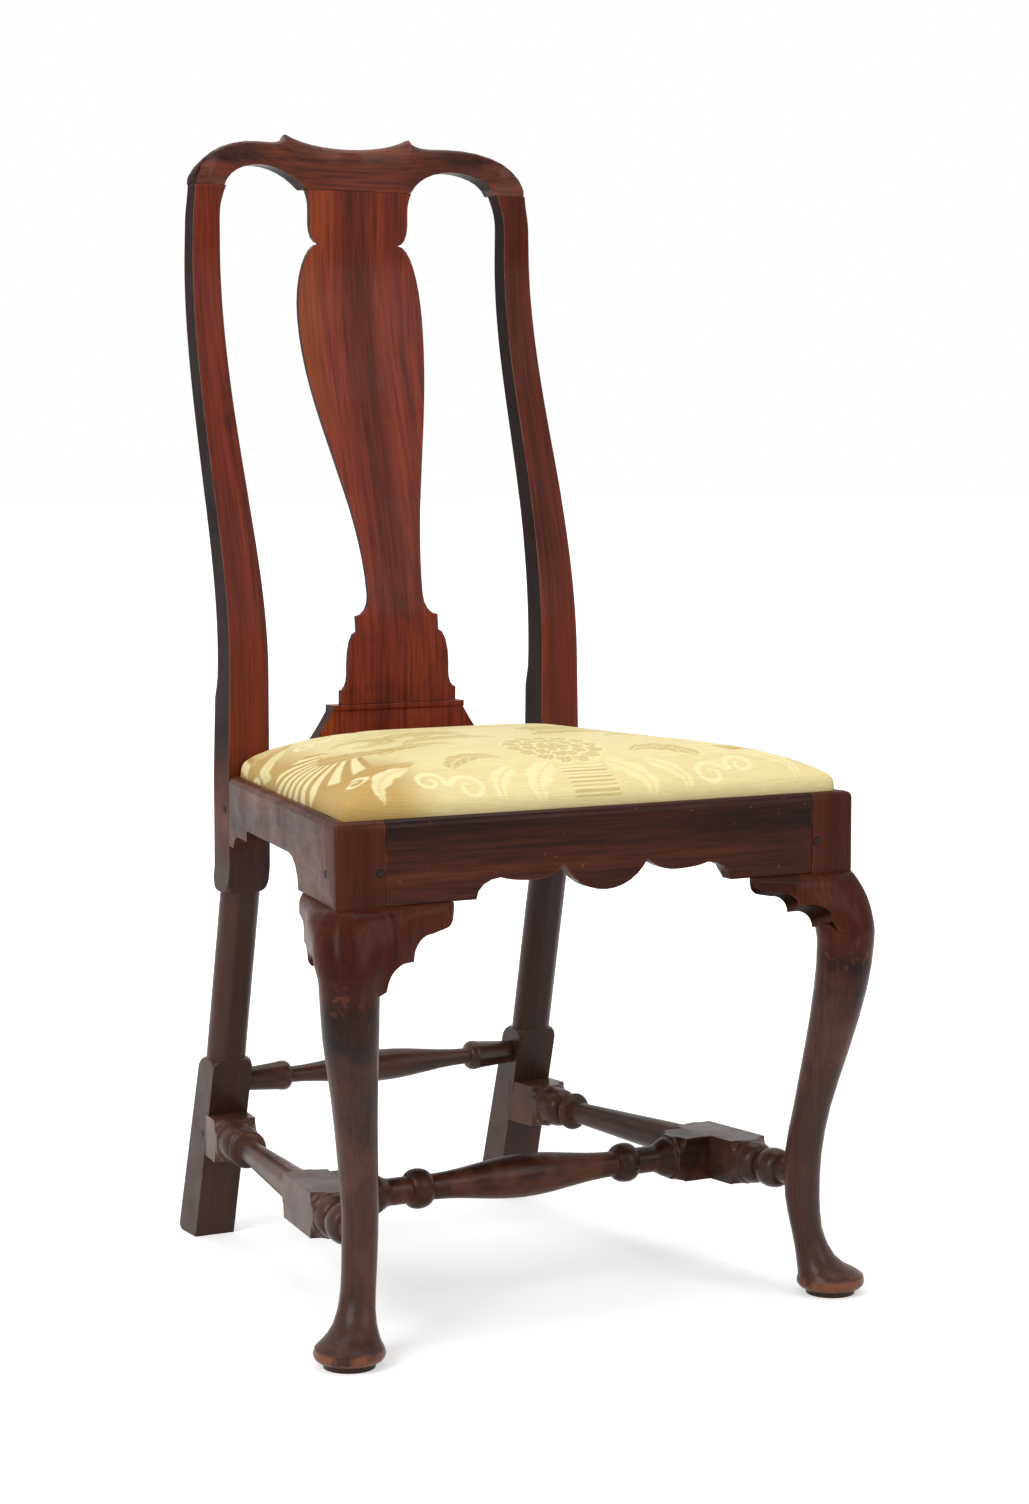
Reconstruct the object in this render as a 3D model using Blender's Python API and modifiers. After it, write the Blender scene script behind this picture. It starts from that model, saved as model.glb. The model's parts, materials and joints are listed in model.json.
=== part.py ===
"""Queen Anne side chair: crooked rear posts, vase splat, cabriole front legs, turned stretchers, slip seat.

Metres, +Z up. While it is built, y = 0 is the front plane of the seat frame, x = 0 the middle and z = 0 the
floor; at the end the whole chair is moved along Y so that its origin is under the middle of its box.
"""

import math

import bmesh
import bpy
from mathutils import Matrix, Vector

for leftover in list(bpy.data.objects):
    bpy.data.objects.remove(leftover, do_unlink=True)

# Fits
FIT = 0.0003
REACH = 0.01  # how far a cutter runs past the face it opens

# Seat frame
SEAT_FRONT_HALF = 0.2478
SEAT_REAR_HALF = 0.181
SEAT_DEPTH = 0.3635
RAIL_BOTTOM = 0.3735
RAIL_HEIGHT = 0.069
RAIL_THICK = 0.024
RAIL_ROUND = 0.006
STUMP = 0.044
LIP = 0.0095
REBATE = 0.0145
RAIL_TENON_THICK = 0.009
RAIL_TENON_HIGH = 0.034
RAIL_TENON_RISE = 0.014
RAIL_TENON_INSET = 0.012
FRONT_TENON = 0.027
SIDE_TENON_FRONT = 0.0195
SIDE_TENON_REAR = 0.020
REAR_RAIL_FRONT = 0.006
REAR_RAIL_THICK = 0.028
REAR_RAIL_HEIGHT = 0.060
REAR_RAIL_TENON = 0.017
REAR_LEDGE = 0.009
GLUE_BLOCK = 0.034
GLUE_BLOCK_HIGH = 0.036
GLUE_BLOCK_DROP = 0.003

# Front apron, half of it: heights above the bottom of the rail
APRON_LOBE_HALF = 0.0403
APRON_CUSP_RISE = 0.0235
APRON_SWAG_MIDDLE = 0.067
APRON_SWAG_RISE = 0.0125
APRON_SWAG_END = 0.099
APRON_COVE_RISE = 0.0165
APRON_COVE_END = 0.1215
APRON_EDGE = 0.013
APRON_UNDERCUT = 0.009

# Lower edge of a side rail: cove from the front plane, the rest from the rear posts, heights above the bottom
SIDE_COVE_START = 0.119
SIDE_COVE_END = 0.151
SIDE_ARCH_RISE = 0.0275
SIDE_STEP_BACK = 0.0665
SIDE_STEP_RISE = 0.018
SIDE_FOOT_BACK = 0.0345
SIDE_FOOT_LONG = 0.018
SIDE_FOOT_RISE = 0.006

# Rear posts
POST_WIDE = 0.040
POST_DEEP = 0.034
POST_TOP = 0.9745
POST_TOP_DRAW = 0.0105
POST_TOP_IN = 0.0038
POST_NARROW_END = 0.80
POST_TOP_DEEP = 0.0225
POST_CHAMFER = 0.008
POST_CHAMFER_START = 0.5115
POST_CHAMFER_RUN = 0.02
CROOK = 0.0875
CROOK_START = 0.5365
CROOK_END = 0.9165
CROOK_RINGS = 9
RAKE = 0.225
RAKE_TOP = 0.3585
POST_TURNED_RADIUS = 0.018
POST_TURNED_TOP = 0.3345
POST_TURNED_BOTTOM = 0.1745
POST_UPPER_SHOULDER = 0.014
POST_LOWER_SHOULDER = 0.008
LOWER_BLOCK_WIDE = 0.039
LOWER_BLOCK_DEEP = 0.034
HEEL_DEEP = 0.040
HEEL_KICK = 0.009
HEEL_ROUND = 0.008
POST_TENON_IN = 0.005
POST_TENON_WIDE = 0.013
POST_TENON_DEEP = 0.009
POST_TENON_HIGH = 0.012

# Splat and shoe
SPLAT_THICK = 0.008
SPLAT_CHAMFER = 0.003
SPLAT_BASE_HALF = 0.0595
SPLAT_PLINTH_HALF = 0.052
SPLAT_COLLAR_HALF = 0.042
SPLAT_WAIST_HALF = 0.028
SPLAT_VASE_HALF = 0.0640
SPLAT_NOTCH_HALF = 0.0408
SPLAT_NECK_HALF = 0.0510
SPLAT_FOOT_RISE = 0.013
SPLAT_PLINTH_RISE = 0.027
SPLAT_PLINTH_END = 0.036
SPLAT_COLLAR_RISE = 0.067
SPLAT_COLLAR_END = 0.081
SPLAT_WAIST_RISE = 0.100
SPLAT_VASE_DROP = 0.118
SPLAT_NOTCH_DROP = 0.0495
SPLAT_NECK_DROP = 0.031
SPLAT_SETBACK_BASE = 0.0205
SPLAT_SETBACK_TOP = 0.0125
SPLAT_FOOT_TENON = 0.008
SPLAT_HEAD_TENON = 0.005
SPLAT_TENON_HALF = 0.040
SPLAT_TENON_BACK = 0.0047
SPLAT_TENON_THICK = 0.0033
SHOE_HIGH = 0.0575
SHOE_TOP_HALF = 0.068
SHOE_WAIST = 0.4775
SHOE_WAIST_HALF = 0.0785
SHOE_BASE_HALF = 0.100
SHOE_BASE_EDGE = 0.006
SHOE_LIP = 0.006
SHOE_LIP_PROUD = 0.0015
SHOE_FRONT = 0.019
SHOE_THICK = 0.017

# Crest rail
CREST_BOW = 0.013
CREST_LEAN = 0.026
CREST_LEAN_HEIGHT = 0.05
CREST_LEAN_HALF = 0.15
CREST_DIP_RISE = 0.040
CREST_EAR_HALF = 0.064
CREST_EAR_RISE = 0.0515
CREST_COVE_END = 0.083
CREST_SHOULDER_HALF = 0.098
CREST_SHOULDER_RISE = 0.043
CREST_ARCH_START = 0.0545
CREST_ARCH_MIDDLE = 0.099
CREST_ARCH_RISE = 0.021
CREST_END = 0.0012
CREST_FRONT_ROUND = 0.003
CREST_BACK_ROUND = 0.012
CREST_MIDDLE_THICK = 0.021

# Front legs: along the diagonal from the middle of the foot, positive outwards
FOOT_IN = 0.0143
FOOT_BACK = 0.0094
PAD_RADIUS = 0.0298
PAD_HEIGHT = 0.0115
DISC_RADIUS = 0.0215
DISC_HIGH = 0.0045
KNEE_LEDGE_DROP = 0.0025
STUMP_DOWN = 0.016

# Cabriole curve from the pad to the knee: height, outer and inner reach, half width, power, shift across
LEG_CURVE = [
    (0.0445, 0.956, -0.963, 0.95, 2.0, 0.0),
    (0.0553, 0.755, -0.973, 0.822, 2.0, 0.0),
    (0.0674, 0.403, -0.997, 0.711, 2.0, 0.0),
    (0.0863, 0.117, -1.023, 0.604, 2.0, 0.0),
    (0.1146, -0.101, -1.081, 0.527, 2.0, 0.0),
    (0.1523, -0.268, -1.181, 0.493, 2.0, 0.0),
    (0.2264, -0.346, -1.369, 0.493, 2.0, 0.0),
    (0.3323, -0.289, -1.379, 0.51, 2.0, -0.027),
    (0.4461, -0.027, -1.131, 0.554, 2.0, -0.06),
    (0.5879, 0.523, -0.809, 0.631, 2.0, -0.128),
    (0.7288, 1.02, -0.547, 0.765, 2.0, -0.164),
    (0.8477, 1.232, -0.46, 0.832, 1.9, -0.185),
    (0.8989, 1.164, -0.638, 0.906, 1.7, -0.134),
    (0.942, 0.997, -0.94, 1.007, 1.45, -0.084),
    (0.9771, 0.755, -1.342, 1.124, 1.25, -0.034),
    (1.0, 0.554, -1.577, 1.158, 1.12, 0.0),
]

# Knee brackets: distances from the corner of the seat frame, depths below the rail
BRACKET_START = 0.0275
BRACKET_REACH = 0.105
BRACKET_NOSE_LONG = 0.010
BRACKET_NOSE_DROP = 0.0215
BRACKET_NOSE_TIP = 0.008
BRACKET_FLAT_DROP = 0.025
BRACKET_COVE_START = 0.0823
BRACKET_COVE_LONG = 0.0186
BRACKET_STEP_DROP = 0.0465
BRACKET_STEP_LONG = 0.0093
BRACKET_FOOT_DROP = 0.068
BRACKET_THICK = 0.012
BRACKET_TIP_THICK = 0.004
BRACKET_LEAN = 0.10
BRACKET_BULGE = 0.010
BRACKET_TIP_PROUD = 0.0005
BRACKET_ROUND = 0.005
BRACKET_EDGE = 0.003

# Stretchers
STRETCHER_HEIGHT = 0.1025
STRETCHER_BLOCK = 0.039
SIDE_BLOCK_START = 0.070
SIDE_BLOCK_END = 0.155
SIDE_REAR_BLOCK = 0.036
LEG_TENON_RADIUS = 0.008
LEG_TENON_END = 0.002
SIDE_POST_TENON = 0.018
SIDE_POST_TENON_WIDE = 0.011
SIDE_POST_TENON_HIGH = 0.022
SIDE_NECK = 0.011
SIDE_NECK_END = 0.025
SIDE_BEAD = 0.0175
SIDE_BEAD_AT = 0.037
SIDE_REEL = 0.0115
SIDE_REEL_START = 0.049
SIDE_REEL_END = 0.052
SIDE_CUP = 0.019
SIDE_CUP_EDGE = 0.004
SIDE_CORNER_RUN = 0.006
SIDE_TAPER = 0.016
SIDE_TAPER_END = 0.0098
SIDE_RING_AT = 0.037
SIDE_RING_HALF = 0.004
SIDE_RING_NECK_END = 0.026
SIDE_BULB = 0.0182
SIDE_BULB_AT = 0.012
SIDE_REAR_CORNER_RUN = 0.005
MEDIAL_ALONG = 0.1185
MEDIAL_BLOCK = 0.027
MEDIAL_TENON = 0.012
MEDIAL_TENON_RADIUS = 0.0075
MEDIAL_BELLY = 0.019
MEDIAL_NECK = 0.0107
MEDIAL_NECK_IN = 0.096
MEDIAL_BALL = 0.0172
MEDIAL_BALL_IN = 0.0763
MEDIAL_REEL = 0.0118
MEDIAL_REEL_IN = 0.060
MEDIAL_REEL_END = 0.048
MEDIAL_CUP = 0.018
MEDIAL_CUP_IN = 0.032
MEDIAL_CORNER_RUN = 0.003
REAR_STRETCHER_HEIGHT = 0.1505
REAR_BELLY = 0.0152
REAR_NECK = 0.0076
REAR_NECK_IN = 0.047
REAR_BEAD = 0.014
REAR_BEAD_IN = 0.0405
REAR_FLANGE = 0.0133
REAR_FLANGE_IN = 0.036
REAR_END = 0.0105
REAR_STRETCHER_TENON = 0.018
REAR_STRETCHER_TENON_RADIUS = 0.007

# Pins
PIN_RADIUS = 0.0036
PIN_LONG = 0.025
PIN_PROUD = 0.0004
FRONT_PIN_IN = 0.0393
FRONT_PIN_RISE = 0.027
SIDE_PIN_BACK = 0.030
SIDE_PIN_RISE = 0.025
POST_PIN_BACK = 0.0101
POST_PIN_RISE = 0.0384
STRETCHER_PIN_BACK = 0.010

# Slip seat
SLIP_CLEAR = 0.0008
SLIP_FRAME_THICK = 0.016
SLIP_FRAME_WIDE = 0.055
COVER_THICK = 0.0012
COVER_UNDER = 0.022
WEB_WIDE = 0.050
WEB_THICK = 0.0012
WEB_COUNT = 3
WEB_END = 0.012
UNDERLAY_THICK = 0.001
UNDERLAY_INSET = 0.004
CROWN_RISE = 0.038
CROWN_PEAK_BACK = 0.012
CROWN_POWER = 4
CROWN_SPREAD = 0.9
CROWN_CROWDING = 1.5
DRAWN_IN = 0.003

# Facets
PER_SIDE = 4
LEG_POINTS = 20
PIN_POINTS = 8
CURVE_STEPS = 4
SOFT_STEPS = 6
BROAD_STEPS = 8
WAVE_STEPS = 6
ROUND_STEPS = 3
LEG_STEPS = 2
FOOT_KEYS = 6
CROWN_RINGS = 7
OUTLINE_STEP = 0.030

# Worked out from the sizes above
UP = Vector((0, 0, 1))
RAIL_TOP = RAIL_BOTTOM + RAIL_HEIGHT
REBATE_FLOOR = RAIL_TOP - REBATE
SIDE_SLOPE = (SEAT_FRONT_HALF - SEAT_REAR_HALF) / SEAT_DEPTH
POST_INNER = SEAT_REAR_HALF - POST_WIDE
TENON_LOW = RAIL_BOTTOM + RAIL_TENON_RISE
TENON_HIGH = TENON_LOW + RAIL_TENON_HIGH
SHOE_TOP = RAIL_TOP + SHOE_HIGH
FOOT_X = SEAT_FRONT_HALF - FOOT_IN
KNEE_TOP = RAIL_BOTTOM - KNEE_LEDGE_DROP
BLOCK_CORNER = STRETCHER_BLOCK / 2 * math.sqrt(2)
POST_TOP_INNER = POST_INNER + POST_TOP_IN
POST_TOP_OUTER = SEAT_REAR_HALF - POST_TOP_DRAW
SLIP_INSET = SLIP_CLEAR + COVER_THICK + FIT
SLIP_FRAME_LOW = REBATE_FLOOR + COVER_THICK + 2 * FIT
WEB_SWING = (WEB_THICK + FIT) / 2
WEB_MIDDLE = SLIP_FRAME_LOW + SLIP_FRAME_THICK + FIT + WEB_SWING + WEB_THICK / 2
UNDERLAY_LOW = WEB_MIDDLE + WEB_SWING + WEB_THICK / 2 + FIT
STUFFING_BASE = UNDERLAY_LOW + UNDERLAY_THICK + FIT

chair = bpy.data.collections.new("queen_anne_side_chair")
cutters = bpy.data.collections.new("cutters")
for collection in (chair, cutters):
    bpy.context.scene.collection.children.link(collection)
cutters.hide_render = True

root = bpy.data.objects.new("chair_frame", None)
slip_root = bpy.data.objects.new("slip_seat", None)
slip_root.parent = root
slip_root.location = (0, SEAT_DEPTH / 2, REBATE_FLOOR)
for empty in (root, slip_root):
    chair.objects.link(empty)


def material(name, colour, roughness):
    made = bpy.data.materials.new(name)
    made.use_nodes = True
    shader = made.node_tree.nodes["Principled BSDF"]
    shader.inputs["Base Color"].default_value = (*colour, 1)
    shader.inputs["Roughness"].default_value = roughness
    shader.inputs["Metallic"].default_value = 0
    return made


BACK_WOOD = material("back_wood", (0.105, 0.030, 0.014), 0.38)
FRAME_WOOD = material("frame_wood", (0.070, 0.026, 0.016), 0.45)
LEG_WOOD = material("leg_wood", (0.060, 0.020, 0.012), 0.42)
PIN_WOOD = material("pin_wood", (0.014, 0.008, 0.006), 0.55)
INNER_WOOD = material("inner_wood", (0.330, 0.210, 0.110), 0.70)
WEBBING = material("webbing", (0.420, 0.330, 0.200), 0.90)
HESSIAN = material("hessian", (0.480, 0.370, 0.220), 0.95)
HAIR = material("hair_stuffing", (0.110, 0.080, 0.060), 1.00)
DAMASK = material("damask", (0.720, 0.560, 0.260), 0.60)


def line(t):
    return t, t


def wave(t):
    """Level at both ends."""
    return t, (1 - math.cos(math.pi * t)) / 2


def level_first(t, sweep=math.pi / 2):
    """A quarter round that leaves along the first axis."""
    return math.sin(sweep * t) / math.sin(sweep), (1 - math.cos(sweep * t)) / (1 - math.cos(sweep))


def level_last(t, sweep=math.pi / 2):
    """A quarter round that arrives along the first axis."""
    reach, rise = level_first(1 - t, sweep)
    return 1 - reach, 1 - rise


def soft_first(t):
    """A shallower arc that leaves along the first axis."""
    return level_first(t, math.pi / 3)


def soft_last(t):
    """A shallower arc that arrives along the first axis."""
    return level_last(t, math.pi / 3)


def broad_first(t):
    """A large quarter round that leaves along the first axis."""
    return level_first(t)


def broad_wave(t):
    """A long stretch that is level at both ends."""
    return wave(t)


FACETS = {line: 1, wave: WAVE_STEPS, soft_first: SOFT_STEPS, soft_last: SOFT_STEPS, broad_first: BROAD_STEPS,
          broad_wave: 2 * BROAD_STEPS}


def traced(start, *moves):
    """Points from start through moves of (u, v, kind of stretch)."""
    points = [start]
    for u, v, kind in moves:
        first_u, first_v = points[-1]
        steps = FACETS.get(kind, CURVE_STEPS)
        for step in range(1, steps + 1):
            along_u, along_v = kind(step / steps)
            points.append((first_u + (u - first_u) * along_u, first_v + (v - first_v) * along_v))
    return points


def height_at(points, u):
    """The second value of an outline where its first value is u."""
    for (low_u, low_v), (high_u, high_v) in zip(points, points[1:]):
        if u <= high_u and high_u > low_u:
            return low_v + (high_v - low_v) * max(0.0, u - low_u) / (high_u - low_u)
    return points[-1][1]


def eased(low, high, value):
    t = min(1.0, max(0.0, (value - low) / (high - low)))
    return t * t * (3 - 2 * t)


def through(keys, steps):
    """Rows on a smooth curve through the key rows, whose first value rises all the way."""
    slopes = []
    for i, key in enumerate(keys):
        before = keys[max(i - 1, 0)]
        after = keys[min(i + 1, len(keys) - 1)]
        slopes.append([(b - a) / (after[0] - before[0]) for a, b in zip(before, after)])
    rows = []
    for i, (low, high) in enumerate(zip(keys, keys[1:])):
        run = high[0] - low[0]
        for step in range(steps):
            t = step / steps
            keep = 1 - t * t * (3 - 2 * t)
            leave = t * (1 - t) ** 2 * run
            arrive = t * t * (t - 1) * run
            ends = zip(low, high, slopes[i], slopes[i + 1])
            rows.append([a * keep + b * (1 - keep) + m * leave + n * arrive for a, b, m, n in ends])
    return rows + [list(keys[-1])]


def loft(rings):
    """A closed solid through rings of as many points each, with flat ends."""
    shape = bmesh.new()
    rows = [[shape.verts.new(point) for point in ring] for ring in rings]
    for low, high in zip(rows, rows[1:]):
        for i in range(len(low)):
            j = (i + 1) % len(low)
            shape.faces.new((low[i], low[j], high[j], high[i]))
    shape.faces.new(rows[0])
    shape.faces.new(rows[-1])
    return shape


def prism(outline, low, high, place):
    """A straight solid: the outline's points carried by place(u, v, w) from w = low to w = high."""
    return loft([[place(u, v, w) for u, v in outline] for w in (low, high)])


def box(low, high):
    shape = bmesh.new()
    size = Vector(high) - Vector(low)
    middle = (Vector(high) + Vector(low)) / 2
    bmesh.ops.create_cube(shape, size=1, matrix=Matrix.Translation(middle) @ Matrix.Diagonal((*size, 1)))
    return shape


def rod(start, end, radius, points=4 * PER_SIDE):
    shape = bmesh.new()
    heading = Vector(end) - Vector(start)
    turn = heading.to_track_quat("Z", "Y").to_matrix().to_4x4()
    place = Matrix.Translation((Vector(start) + Vector(end)) / 2) @ turn
    bmesh.ops.create_cone(shape, cap_ends=True, segments=points, radius1=radius, radius2=radius,
                          depth=heading.length, matrix=place)
    return shape


def round_edges(shape, chosen, width):
    """Rounds the edges whose two ends both satisfy chosen."""
    edges = [edge for edge in shape.edges if all(chosen(vert.co) for vert in edge.verts)]
    bmesh.ops.bevel(shape, geom=edges, offset=width, segments=ROUND_STEPS, profile=0.5, affect="EDGES")


def added(name, shape, collection, parent):
    """An object of the shape, with its origin in the middle of the shape."""
    bmesh.ops.recalc_face_normals(shape, faces=shape.faces)
    corners = [vert.co for vert in shape.verts]
    middle = Vector([(min(c[i] for c in corners) + max(c[i] for c in corners)) / 2 for i in range(3)])
    bmesh.ops.translate(shape, verts=shape.verts, vec=-middle)
    mesh = bpy.data.meshes.new(name)
    shape.to_mesh(mesh)
    shape.free()
    mesh.shade_smooth()
    mesh.set_sharp_from_angle(angle=math.radians(35))
    made = bpy.data.objects.new(name, mesh)
    collection.objects.link(made)
    made.parent = parent
    made.location = middle - parent.location
    return made


def part(name, shape, look, parent=root):
    made = added(name, shape, chair, parent)
    made.data.materials.append(look)
    return made


def tool(name, shape):
    made = added(name, shape, cutters, root)
    made.hide_render = True
    made.display_type = "WIRE"
    return made


def combine(target, operation, others):
    for other in others:
        modifier = target.modifiers.new(operation.lower() + "_" + other.name, "BOOLEAN")
        modifier.operation = operation
        modifier.object = other


def cut(target, *others):
    combine(target, "DIFFERENCE", others)


def join(target, *others):
    combine(target, "UNION", others)


def grown(low, high, gap=FIT):
    """The box of a tenon, wider by the gap all round, for its mortise."""
    return box([a - gap for a in low], [b + gap for b in high])


def section(half_wide, half_deep, radius):
    """A square blank turned down to a radius, which leaves the corners that the radius doesn't reach."""
    ring = []
    for step in range(4 * PER_SIDE):
        angle = math.pi / 4 + step * math.pi / 2 / PER_SIDE
        reach = 1 / max(abs(math.cos(angle)), abs(math.sin(angle)))
        u = math.cos(angle) * reach * half_wide
        v = math.sin(angle) * reach * half_deep
        pull = min(1.0, radius / math.hypot(u, v))
        ring.append((u * pull, v * pull))
    return ring


def named(side, name):
    return ("left_" if side < 0 else "right_") + name


# The back: posts, splat, shoe and crest


def post_front(z):
    """How far back the front face of a rear post is at a height."""
    swept = CROOK * eased(CROOK_START, CROOK_END, z)
    kicked = HEEL_KICK * max(0.0, 1 - z / POST_TURNED_BOTTOM)
    return SEAT_DEPTH + swept + kicked + RAKE * max(0.0, RAKE_TOP - z)


def post_span(z):
    """Inner and outer edge of a rear post's blank at a height."""
    if z < POST_TURNED_BOTTOM:
        return POST_INNER, POST_INNER + LOWER_BLOCK_WIDE
    share = max(0.0, (z - RAIL_TOP) / (POST_TOP - RAIL_TOP))
    inner = POST_INNER + POST_TOP_IN * eased(CROOK_START, POST_NARROW_END, z)
    return inner, SEAT_REAR_HALF - POST_TOP_DRAW * share


def post_deep(z):
    if z < POST_TURNED_BOTTOM:
        return HEEL_DEEP + (LOWER_BLOCK_DEEP - HEEL_DEEP) * z / POST_TURNED_BOTTOM
    return POST_DEEP + (POST_TOP_DEEP - POST_DEEP) * max(0.0, (z - RAIL_TOP) / (POST_TOP - RAIL_TOP))


def post_stations():
    """Heights of a rear post's sections, from the floor up, each with the radius it is turned to."""
    square = POST_WIDE + POST_DEEP
    lower = (LOWER_BLOCK_WIDE + LOWER_BLOCK_DEEP) / 2 * math.sqrt(0.5)
    upper = (POST_WIDE + POST_DEEP) / 2 * math.sqrt(0.5)
    rows = [(height, square) for height in (0, HEEL_ROUND / 4, HEEL_ROUND)]
    rows += traced((POST_TURNED_BOTTOM - POST_LOWER_SHOULDER, lower),
                   (POST_TURNED_BOTTOM, POST_TURNED_RADIUS, level_first),
                   (POST_TURNED_TOP, POST_TURNED_RADIUS, line),
                   (POST_TURNED_TOP + POST_UPPER_SHOULDER, upper, level_last))
    rows += [(height, square) for height in (RAKE_TOP, RAIL_TOP, POST_CHAMFER_START)]
    rows += [(POST_CHAMFER_START + POST_CHAMFER_RUN, square)]
    crook = [CROOK_START + (CROOK_END - CROOK_START) * step / CROOK_RINGS for step in range(CROOK_RINGS + 1)]
    return rows + [(height, square) for height in (*crook, POST_TOP - FIT)]


def post_section(z, radius):
    inner, outer = post_span(z)
    wide = outer - inner
    deep = post_deep(z) - HEEL_ROUND * (1 - math.sqrt(1 - max(0.0, 1 - z / HEEL_ROUND) ** 2))
    chamfer = POST_CHAMFER * eased(POST_CHAMFER_START, POST_CHAMFER_START + POST_CHAMFER_RUN, z)
    corner = wide / 2 + deep / 2 - chamfer
    ring = []
    for u, v in section(wide / 2, deep / 2, radius):
        pull = min(1.0, corner / (abs(u) + v)) if v > 0 else 1.0
        ring.append((inner + wide / 2 + u * pull, post_front(z) + deep / 2 + v * pull, z))
    return ring


def post_tenon():
    """Corners of the tenon on top of a rear post, on the right."""
    front = post_front(POST_TOP) + (POST_TOP_DEEP - POST_TENON_DEEP) / 2
    low = Vector((POST_TOP_INNER + POST_TENON_IN, front, POST_TOP - FIT))
    return low, low + Vector((POST_TENON_WIDE, POST_TENON_DEEP, POST_TENON_HIGH))


def mirrored(side, low, high):
    """The corners of a box on the right, moved to a side."""
    if side > 0:
        return low, high
    return Vector((-high[0], low[1], low[2])), Vector((-low[0], high[1], high[2]))


def rear_post(side):
    rings = [[(side * x, y, z) for x, y, z in post_section(*row)] for row in post_stations()]
    made = part(named(side, "rear_post"), loft(rings), BACK_WOOD)
    low, high = mirrored(side, *post_tenon())
    low.z -= REACH
    join(made, tool(named(side, "post_tenon"), box(low, high)))
    return made


def splat_front(z):
    share = (z - SHOE_TOP) / (POST_TOP - SHOE_TOP)
    return post_front(z) + SPLAT_SETBACK_BASE + (SPLAT_SETBACK_TOP - SPLAT_SETBACK_BASE) * share


def splat_outline():
    """Half widths of the splat by height: base, collar, waist, vase and neck."""
    base = SHOE_TOP + FIT
    top = POST_TOP - FIT
    return traced((base, SPLAT_BASE_HALF), (base + SPLAT_FOOT_RISE, SPLAT_BASE_HALF, line),
                  (base + SPLAT_PLINTH_RISE, SPLAT_PLINTH_HALF, level_last),
                  (base + SPLAT_PLINTH_END, SPLAT_PLINTH_HALF, line),
                  (base + SPLAT_COLLAR_RISE, SPLAT_COLLAR_HALF, level_first),
                  (base + SPLAT_COLLAR_END, SPLAT_COLLAR_HALF, line),
                  (base + SPLAT_WAIST_RISE, SPLAT_WAIST_HALF, level_last),
                  (top - SPLAT_VASE_DROP, SPLAT_VASE_HALF, broad_wave),
                  (top - SPLAT_NOTCH_DROP, SPLAT_NOTCH_HALF, broad_first),
                  (top - SPLAT_NECK_DROP, SPLAT_NECK_HALF, level_last), (top, SPLAT_NECK_HALF, line))


def splat_tenon(z, end):
    """Corners of a tenon of the splat, from height z to height end."""
    half = SPLAT_TENON_HALF
    low = (-half, splat_front(z) + SPLAT_TENON_BACK, min(z, end))
    return low, (half, low[1] + SPLAT_TENON_THICK, max(z, end))


def splat_foot():
    return splat_tenon(SHOE_TOP + REACH, SHOE_TOP - SPLAT_FOOT_TENON)


def splat_head():
    return splat_tenon(POST_TOP - REACH, POST_TOP + SPLAT_HEAD_TENON)


def splat():
    rings = []
    for z, half in splat_outline():
        front = splat_front(z)
        back = front + SPLAT_THICK
        side = [(half, front), (half, back - SPLAT_CHAMFER), (half - SPLAT_CHAMFER, back)]
        rings.append([(x, y, z) for x, y in side] + [(-x, y, z) for x, y in reversed(side)])
    made = part("splat", loft(rings), BACK_WOOD)
    join(made, tool("splat_foot_tenon", box(*splat_foot())), tool("splat_head_tenon", box(*splat_head())))
    return made


def splat_shoe():
    lip = SHOE_TOP - SHOE_LIP
    flare = through(((RAIL_TOP + SHOE_BASE_EDGE, SHOE_BASE_HALF), (SHOE_WAIST, SHOE_WAIST_HALF),
                     (lip, SHOE_TOP_HALF)), CURVE_STEPS)
    rows = [(RAIL_TOP + FIT, SHOE_BASE_HALF, SHOE_LIP_PROUD)]
    rows += [(z, half, SHOE_LIP_PROUD) for z, half in flare]
    rows += [(lip + SHOE_LIP_PROUD, SHOE_TOP_HALF, 0), (SHOE_TOP, SHOE_TOP_HALF, 0)]
    rings = []
    for z, half, back in rows:
        front = SEAT_DEPTH + SHOE_FRONT + back
        rear = SEAT_DEPTH + SHOE_FRONT + SHOE_THICK
        rings.append([(half, front, z), (half, rear, z), (-half, rear, z), (-half, front, z)])
    made = part("splat_shoe", loft(rings), BACK_WOOD)
    cut(made, tool("shoe_slot", grown(*splat_foot())))
    return made


def crest_front(x, z):
    """The crest bows back in plan, and its middle leans back as it rises."""
    bow = CREST_BOW * (1 - (x / POST_TOP_OUTER) ** 2)
    lean = CREST_LEAN * max(0.0, z - POST_TOP) / CREST_LEAN_HEIGHT * max(0.0, 1 - (x / CREST_LEAN_HALF) ** 2)
    return post_front(POST_TOP) + bow + lean


def crest_section(x, low, high):
    thick = CREST_MIDDLE_THICK + (POST_TOP_DEEP - CREST_MIDDLE_THICK) * (x / POST_TOP_OUTER) ** 2
    front_round = min(CREST_FRONT_ROUND, (high - low) / 3)
    back_round = min(CREST_BACK_ROUND, (high - low) / 2)
    front = [(0, low), (0, (low + high) / 2), (0, high - front_round),
             (front_round / 3, high - front_round / 3), (front_round, high)]
    back = [(thick - back_round, high), (thick - back_round * 0.3, high - back_round * 0.3),
            (thick, high - back_round), (thick, (low + high - back_round) / 2), (thick, low)]
    return [(x, crest_front(x, z) + y, z) for y, z in front + back]


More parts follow.
